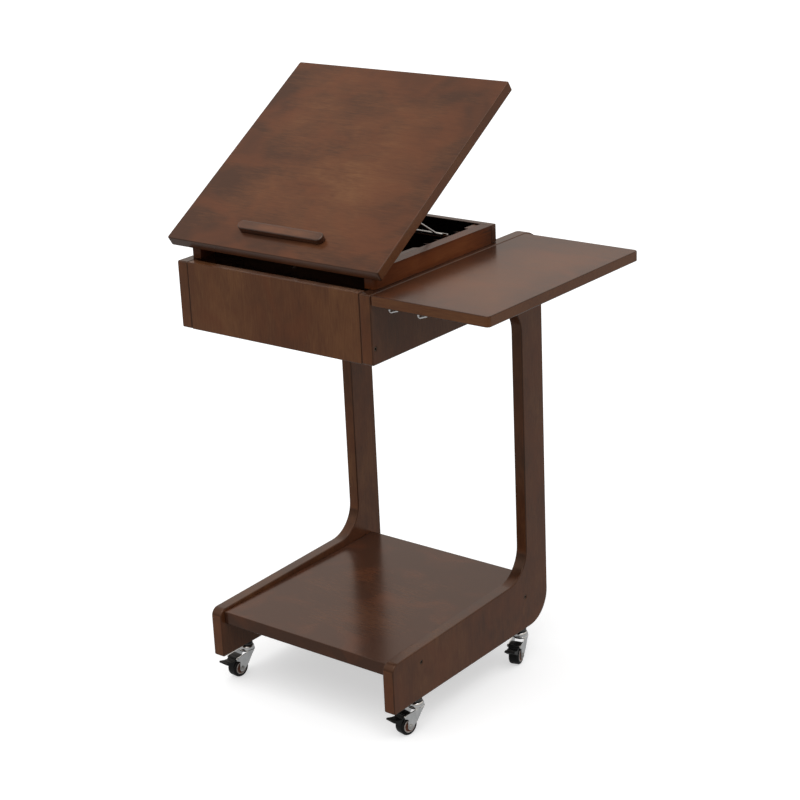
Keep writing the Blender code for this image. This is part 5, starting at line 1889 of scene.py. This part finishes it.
@dataclass
class CasterMount(Caster):
    """The stem of a caster with its swivel fork and axle."""

    kingpin_radius: float = 2.9
    clinch_lip: float = 1.7
    clinch_height: float = 2.4
    clinch_chamfer: Pair = (1.3, 0.8)
    stem_gap: float = 0.3
    flange_chamfer: float = 0.9
    flange_top_inset: float = 1.0
    groove_depth: float = 0.6
    groove_levels: Triple = (1.7, 1.1, 0.5)
    shank_radius: float = 4.0
    shank_chamfer: float = 1.0
    stem_steps: int = 48
    stem_arris: float = 0.2
    head_bore: float = 3.2
    head_lip: float = 1.3
    head_height: float = 9.3
    head_skirt: float = 3.4
    head_taper: float = 3.0
    head_ease: float = 0.7
    head_steps: int = 56
    race_depth: float = 0.7
    race_levels: Triple = (1.0, 0.6, 0.1)
    dome_inset: float = 0.4
    dome_lift: float = 0.2
    dome_step_deg: float = 10.0
    cheek_rear: float = 5.0
    cheek_front: float = -3.0
    cheek_back: tuple[Pair, ...] = ((13.0, 4.5), (20.5, 15.0))
    waist: Pair = (-4.0, 12.6)
    pedal_ear: float = 2.6
    pedal_ear_deg: Pair = (80.0, 235.0)
    axle_boss: float = 5.2
    axle_boss_deg: Pair = (165.0, 325.0)
    fork_arris: float = 0.35
    washer: float = 0.55
    washer_chamfer: float = 0.25
    rivet_share: float = 0.68
    rivet_dome: tuple[Pair, ...] = ((0.6, 0.12), (0.93, 0.45))
    axle_steps: int = 36

    def build(self) -> None:
        """Build what carries a caster's wheel."""
        self.build_stem()
        self.build_fork()
        self.build_axle()

    def build_stem(self) -> None:
        """Turn the stem: shank in the rail, flange, kingpin and riveted head."""
        node = f"{self.name}_stem"
        low, high = self.bench.reach(node, self.datum)
        flange, pin, shank = (high.x - low.x) / 2, self.kingpin_radius, self.shank_radius
        clinch, neck = pin + self.clinch_lip, flange - self.groove_depth
        bottom = self.fork_top + self.stem_gap
        top = self.bench.reach("side_frame_left")[0].z - self.stem_gap
        groove_start, groove_floor, groove_end = (top - level for level in self.groove_levels)
        profile = [
            (0.0, low.z), (clinch - self.clinch_chamfer[0], low.z), (clinch, low.z + self.clinch_chamfer[1]),
            (clinch, low.z + self.clinch_height), (pin, low.z + self.clinch_height), (pin, bottom),
            (flange - self.flange_chamfer, bottom), (flange, bottom + self.flange_chamfer),
            (flange, groove_start), (neck, groove_floor), (neck, groove_end),
            (flange - self.flange_top_inset, top), (shank, top), (shank, high.z - self.shank_chamfer),
            (shank - self.shank_chamfer, high.z), (0.0, high.z),
        ]
        shape = turned(profile, self.stem_steps)
        self.bench.place(
            f"{node}_chrome", shape, self.datum, "table_frame", BLACK_ZINC, [node], self.stem_arris)

    def build_fork(self) -> None:
        """Press the swivel fork: a domed head and two cheeks with ears for the pedal."""
        node = f"{self.name}_fork"
        outer = self.cheek_outer
        outline = self.cheek_outline()
        cheeks = [prism(outline, Axis.X, *side.span(outer - self.fork_gauge, outer)) for side in Side]
        reach, holes = outer + CUT_MARGIN, []
        for radius, centre in ((self.axle_radius, self.axle), (self.pedal_pin, self.pivot)):
            holes.append(rod(radius + self.axle_play, -reach, reach, Axis.X, (0.0, *centre)))
        shape = carve(turned(self.head_profile(), self.head_steps, ring=True), cheeks, holes)
        self.bench.place(f"{node}_chrome", shape, self.datum, self.swivel, CHROME, [node], self.fork_arris)

    def head_profile(self) -> list[Pair]:
        """Draw the fork's head: a skirt, the groove of its bearing and a dome.

        Returns:
            Points as (radius, height).
        """
        top, bottom = self.fork_top, self.fork_top - self.head_height
        rim, skirt = self.cheek_outer + self.head_lip, bottom + self.head_skirt
        race = rim - self.race_depth
        race_start, race_floor, race_end = (skirt - level for level in self.race_levels)
        profile = [(self.head_bore, bottom), (rim - self.head_ease, bottom), (rim, bottom + self.head_ease)]
        profile += [(rim, race_start), (race, race_floor), (race, race_end)]
        inward, foot = self.head_taper - self.dome_inset, skirt + self.dome_lift
        for out, up in arc((0.0, 0.0), 1.0, 0.0, 90.0, self.dome_step_deg):
            profile.append((rim - self.dome_inset - inward * (1.0 - out), foot + (top - foot) * up))
        profile.append((self.head_bore, top))
        return profile

    def cheek_outline(self) -> list[Pair]:
        """Draw a cheek of the fork, from the head over the pedal's ear to the boss of the axle.

        Returns:
            Points as (Y, Z).
        """
        bottom = self.fork_top - self.head_height
        top = bottom + self.head_skirt / 2
        outline = [(self.cheek_rear, bottom), (self.cheek_rear, top), (self.cheek_front, top)]
        outline += arc(self.pivot, self.pedal_ear, *self.pedal_ear_deg, step_deg=12.0)
        outline.append((self.axle[0] + self.waist[0], self.axle[1] + self.waist[1]))
        outline += arc(self.axle, self.axle_boss, *self.axle_boss_deg)
        outline += [(self.axle[0] + behind, self.axle[1] + up) for behind, up in self.cheek_back]
        return outline

    def build_axle(self) -> None:
        """Turn the riveted axle, with a washer under each domed end."""
        node = f"{self.name}_axle"
        low, high = self.bench.reach(node, self.datum)
        half, washer = (high.x - low.x) / 2, (high.z - low.z) / 2
        dome = washer * self.rivet_share
        seat = self.cheek_outer + self.axle_play
        face = seat + self.washer
        end = [(0.0, -half)]
        end += [(dome * out, back - half) for out, back in self.rivet_dome]
        end += [(dome, -face), (washer - self.washer_chamfer, -face), (washer, self.washer_chamfer - face)]
        end += [(washer, -seat), (self.axle_radius, -seat)]
        shape = moved(turned(mirrored(end), self.axle_steps, Axis.X), (0.0, *self.axle))
        self.bench.place(f"{node}_steel", shape, self.datum, self.swivel, ZINC, [node])


@dataclass
class CasterWheel(Caster):
    """The tyre of a caster and its hub with pale rings, turned about the axle."""

    tyre_bore: float = 10.6
    tyre_lip: float = 0.25
    tyre_shoulder: float = 3.0
    tyre_land: float = 0.3
    tyre_steps: int = 80
    hub_play: float = 0.3
    hub_recess: float = 1.6
    hub_steps: int = 72
    ring_width: float = 1.7
    ring_depth: float = 1.1
    ring_ease: float = 0.3
    ring_play: float = 0.1
    boss_radius: float = 4.2
    boss_chamfer: float = 0.4
    boss_foot: tuple[Pair, ...] = ((0.2, 0.5), (0.8, 0.0))
    web_bead: tuple[Pair, ...] = ((1.5, 0.0), (0.9, 0.35), (0.2, 0.35))

    def build(self) -> None:
        """Turn the tyre, the rings and the hub."""
        centre = (0.0, *self.axle)
        node = f"{self.name}_tyre"
        half = self.bench.reach(node, self.datum)[1].x
        shoulder = self.axle[1] - self.tyre_shoulder
        face = [(self.tyre_bore, half - self.tyre_lip), (self.tyre_bore + self.tyre_lip, half)]
        face.append((shoulder - self.tyre_land, half))
        face += arc((shoulder, half - self.tyre_shoulder), self.tyre_shoulder, 90.0, 0.0, step_deg=10.0)
        shape = moved(turned(mirrored(face), self.tyre_steps, Axis.X, ring=True), centre)
        self.bench.place(f"{node}_rubber", shape, self.datum, self.wheel, TYRE, [node])
        rim = self.tyre_bore - self.hub_play
        inner, floor, edge = rim - self.ring_width, half - self.ring_depth, self.ring_ease
        ring = [(rim, half - edge), (rim - edge, half), (inner + edge, half), (inner, half - edge)]
        ring += [(inner, floor), (rim, floor)]
        for side in Side:
            loop = [(radius, side.value * height) for radius, height in ring]
            shape = moved(turned(loop, self.hub_steps, Axis.X, ring=True), centre)
            self.bench.place(f"{self.name}_hub_ring_{side.word}", shape, self.datum, self.wheel, HUB_RING)
        node = f"{self.name}_hub"
        boss = self.bench.reach(node, self.datum)[1].x
        web = half - self.hub_recess
        face = [(self.axle_radius + self.axle_play, boss), (self.boss_radius - self.boss_chamfer, boss)]
        face.append((self.boss_radius, boss - self.boss_chamfer))
        face += [(self.boss_radius + out, web + up) for out, up in self.boss_foot]
        face += [(inner - back, web + up) for back, up in self.web_bead]
        face += [(inner - self.ring_play, floor - self.ring_play), (rim, floor - self.ring_play)]
        shape = moved(turned(mirrored(face), self.hub_steps, Axis.X, ring=True), centre)
        self.bench.place(f"{node}_brown", shape, self.datum, self.wheel, HUB, [node])


@dataclass
class BrakePedal(Caster):
    """The brake pedal of a caster, with its ribs and the rivets of its pivot."""

    hood_inner: float = 18.5
    hood_outer: float = 21.5
    hood_span_deg: Pair = (24.0, 98.0)
    side_gap: float = 0.8
    lobe: float = 3.0
    pin_steps: int = 20
    ease_width: float = 0.5
    ease_steps: int = 2
    tongue_deg: float = 48.0
    tongue_tip_deg: float = 27.0
    tongue_reach: float = 12.5
    tongue_tip: float = 3.4
    tongue_dip: Pair = (0.35, 0.5)
    nose_deg: Pair = (95.0, 265.0)
    rib_count: int = 4
    rib_start: float = 0.5
    rib_pitch: float = 0.13
    rib_margin: float = 1.2
    rib_foot: Pair = (0.55, 0.8)
    rib_crest: Pair = (0.4, 0.45)
    rib_round: float = 0.2
    rib_bed: float = 0.1
    rivet_radius: float = 2.3
    rivet_height: float = 0.9
    rivet_gap: float = 0.1
    rivet_dome: tuple[Pair, ...] = ((1.0, 0.0), (0.92, 0.6), (0.55, 0.93), (0.0, 1.0))
    rivet_steps: int = 28

    def build(self) -> None:
        """Mould the pedal: a hood over the tyre, a ribbed tongue and two pivot pins with rivets."""
        low_deg, high_deg = self.hood_span_deg
        half = self.cheek_outer - self.fork_gauge - self.side_gap
        outline = self.hood_arc(low_deg, high_deg, self.hood_inner)
        outline += self.hood_arc(high_deg, self.tongue_deg, self.hood_outer)
        root = Vector(outline[-1])
        tip = Vector(self.around_axle(self.tongue_tip_deg, self.hood_outer + self.tongue_reach))
        upper = tip + Vector((0.0, self.tongue_tip))
        share, dip = self.tongue_dip
        outline.append(tuple(root.lerp(upper, share) - Vector((0.0, dip))))
        nose = self.tongue_tip / 2
        outline += arc((tip.x + nose, tip.y + nose), nose, *self.nose_deg, step_deg=17.0)
        outline.append(self.around_axle(low_deg, self.hood_outer))
        pivot = (0.0, *self.pivot)
        lobe = rod(self.lobe, -half, half, Axis.X, pivot)
        pin = rod(self.pedal_pin, -self.cheek_outer, self.cheek_outer, Axis.X, pivot, self.pin_steps)
        stock = carve(prism(outline, Axis.X, -half, half), [lobe, pin])
        ease(stock, self.ease_width, self.ease_steps)
        start, pitch = root.lerp(upper, self.rib_start), (upper - root) * self.rib_pitch
        (foot, sink), (crest, rise) = self.rib_foot, self.rib_crest
        corners = [(-foot, -sink, 0.0), (foot, -sink, 0.0)]
        corners += [(crest, rise, self.rib_round), (-crest, rise, self.rib_round)]
        rib = prism(rounded(corners), Axis.X, self.rib_margin - half, half - self.rib_margin)
        first = (0.0, start.x, start.y - self.rib_bed)
        shape = self.bench.ribbed(stock, rib, self.rib_count, first, (0.0, *pitch), PEDAL)
        node = f"{self.name}_pedal"
        self.bench.place(f"{node}_plastic", shape, self.datum, self.pedal, PEDAL, [node])
        seat = self.cheek_outer + self.rivet_gap
        profile = [(0.0, seat)]
        profile += [(self.rivet_radius * out, seat + self.rivet_height * up) for out, up in self.rivet_dome]
        for side in Side:
            turned_out = [(radius, side.value * height) for radius, height in profile]
            shape = moved(turned(turned_out, self.rivet_steps, Axis.X), pivot)
            self.bench.place(f"{node}_rivet_{side.word}", shape, self.datum, self.pedal, CHROME)


# Studio


@dataclass(frozen=True)
class Studio:
    """A pale floor, soft light and a camera at the photograph's viewing angle."""

    azimuth_deg: float = 38.713
    elevation_deg: float = 19.641
    roll_deg: float = -2.622
    distance: float = 2805.9
    target: Triple = (68.65, 186.33, 455.0)
    focal_px: float = 1930.8
    picture_px: float = 800.0
    sensor: float = 36.0
    floor_half: float = 30.0
    floor_seen: Colour = (0.65, 0.65, 0.65)
    floor_grey: Colour = (0.15, 0.15, 0.15)
    floor_roughness: float = 0.9
    glow_seen: float = 0.53
    glow_mirrored: float = 0.31
    white: Colour = (1.0, 1.0, 1.0)
    sky_low: float = 0.08
    sky_high: float = 0.72
    sky_span: Pair = (0.03, 0.48)
    backdrop: float = 0.16
    backdrop_span: Pair = (0.40, 0.72)
    mirrored_tint: Colour = (1.0, 0.92, 0.85)
    sun: float = 1.3
    sun_angle_deg: float = 60.0
    sun_turn_deg: Triple = (17.5, 5.0, 0.0)

    def build(self, table: Matrix) -> None:
        """Set up the floor, the light and the camera.

        Args:
            table: The table's own frame, which the camera's target is given in.
        """
        self.build_floor()
        self.build_light()
        self.build_camera(table)

    def build_floor(self) -> None:
        """Lay the floor."""
        half = self.floor_half
        corners = [(-half, -half, 0.0), (half, -half, 0.0), (half, half, 0.0), (-half, half, 0.0)]
        mesh = bpy.data.meshes.new("studio_floor")
        mesh.from_pydata(corners, [], [(0, 1, 2, 3)])
        floor = loose_object("studio_floor", mesh)
        canvas, shader, material = blank_material("floor_paint")
        ray = canvas.add("ShaderNodeLightPath").outputs
        glow = canvas.math("MULTIPLY", ray["Is Camera Ray"], self.glow_seen)
        glow = canvas.math("MULTIPLY_ADD", ray["Is Glossy Ray"], self.glow_mirrored, glow)
        canvas.fill(shader, {
            "Base Color": canvas.blend(ray["Is Camera Ray"], self.floor_grey, self.floor_seen),
            "Roughness": self.floor_roughness,
            "Specular IOR Level": 0.0,
            "Emission Color": (*self.white, 1.0),
            "Emission Strength": glow,
        })
        mesh.materials.append(material)

    def build_light(self) -> None:
        """Light the table with a pale sky and one broad soft light."""
        scene = bpy.context.scene
        scene.world = bpy.data.worlds.new("studio_sky")
        scene.world.use_nodes = True
        canvas = Canvas(scene.world.node_tree)
        ray = canvas.add("ShaderNodeLightPath").outputs
        height = canvas.parts(canvas.add("ShaderNodeTexCoord").outputs["Generated"])["Z"]
        strength = canvas.ramp(height, self.sky_span, (self.sky_low, self.sky_high))
        backdrop = canvas.ramp(height, self.backdrop_span, (self.backdrop, 0.0))
        strength = canvas.math("MULTIPLY_ADD", ray["Is Glossy Ray"], backdrop, strength)
        canvas.fill(scene.world.node_tree.nodes["Background"], {
            "Color": canvas.blend(ray["Is Glossy Ray"], self.white, self.mirrored_tint),
            "Strength": canvas.math("MAXIMUM", strength, ray["Is Camera Ray"]),
        })
        lamp = bpy.data.lights.new("soft_light", "SUN")
        lamp.energy = self.sun
        lamp.angle = math.radians(self.sun_angle_deg)
        light = bpy.data.objects.new("soft_light", lamp)
        light.rotation_euler = [math.radians(turn) for turn in self.sun_turn_deg]
        scene.collection.objects.link(light)
        scene.view_settings.view_transform = "Standard"

    def build_camera(self, table: Matrix) -> None:
        """Stand the camera where the photograph was taken from.

        Args:
            table: The table's own frame.
        """
        azimuth, elevation, roll = (
            math.radians(angle) for angle in (self.azimuth_deg, self.elevation_deg, self.roll_deg))
        away = math.cos(elevation)
        back = Vector((math.sin(azimuth) * away, -math.cos(azimuth) * away, math.sin(elevation)))
        level = Vector((math.cos(azimuth), math.sin(azimuth), 0.0))
        upright = back.cross(level)
        right = level * math.cos(roll) + upright * math.sin(roll)
        above = upright * math.cos(roll) - level * math.sin(roll)
        place = table @ (Vector(self.target) * MM) + back * self.distance * MM
        lens = bpy.data.cameras.new("view_camera")
        lens.sensor_width = self.sensor
        lens.lens = self.sensor * self.focal_px / self.picture_px
        camera = bpy.data.objects.new("view_camera", lens)
        turn = Matrix((right, above, back)).transposed().to_4x4()
        camera.matrix_world = Matrix.Translation(place) @ turn
        bpy.context.scene.collection.objects.link(camera)
        bpy.context.scene.camera = camera


def main() -> None:
    """Dress the frame and set up the studio."""
    logging.basicConfig(level=logging.INFO, format="%(name)s: %(message)s")
    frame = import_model()
    bench = Bench(frame)
    Studio().build(bench.table)
    fasteners = Fasteners(bench)
    for assembly in (SideFrames, Boards, RatchetFrame, TiltBoard, SupportBail, DropLeaf):
        assembly(bench, fasteners).build()
    for corner in Corner:
        for assembly in (CasterMount, CasterWheel, BrakePedal):
            assembly(bench, corner).build()
    fasteners.build()


if __name__ == "__main__":
    main()
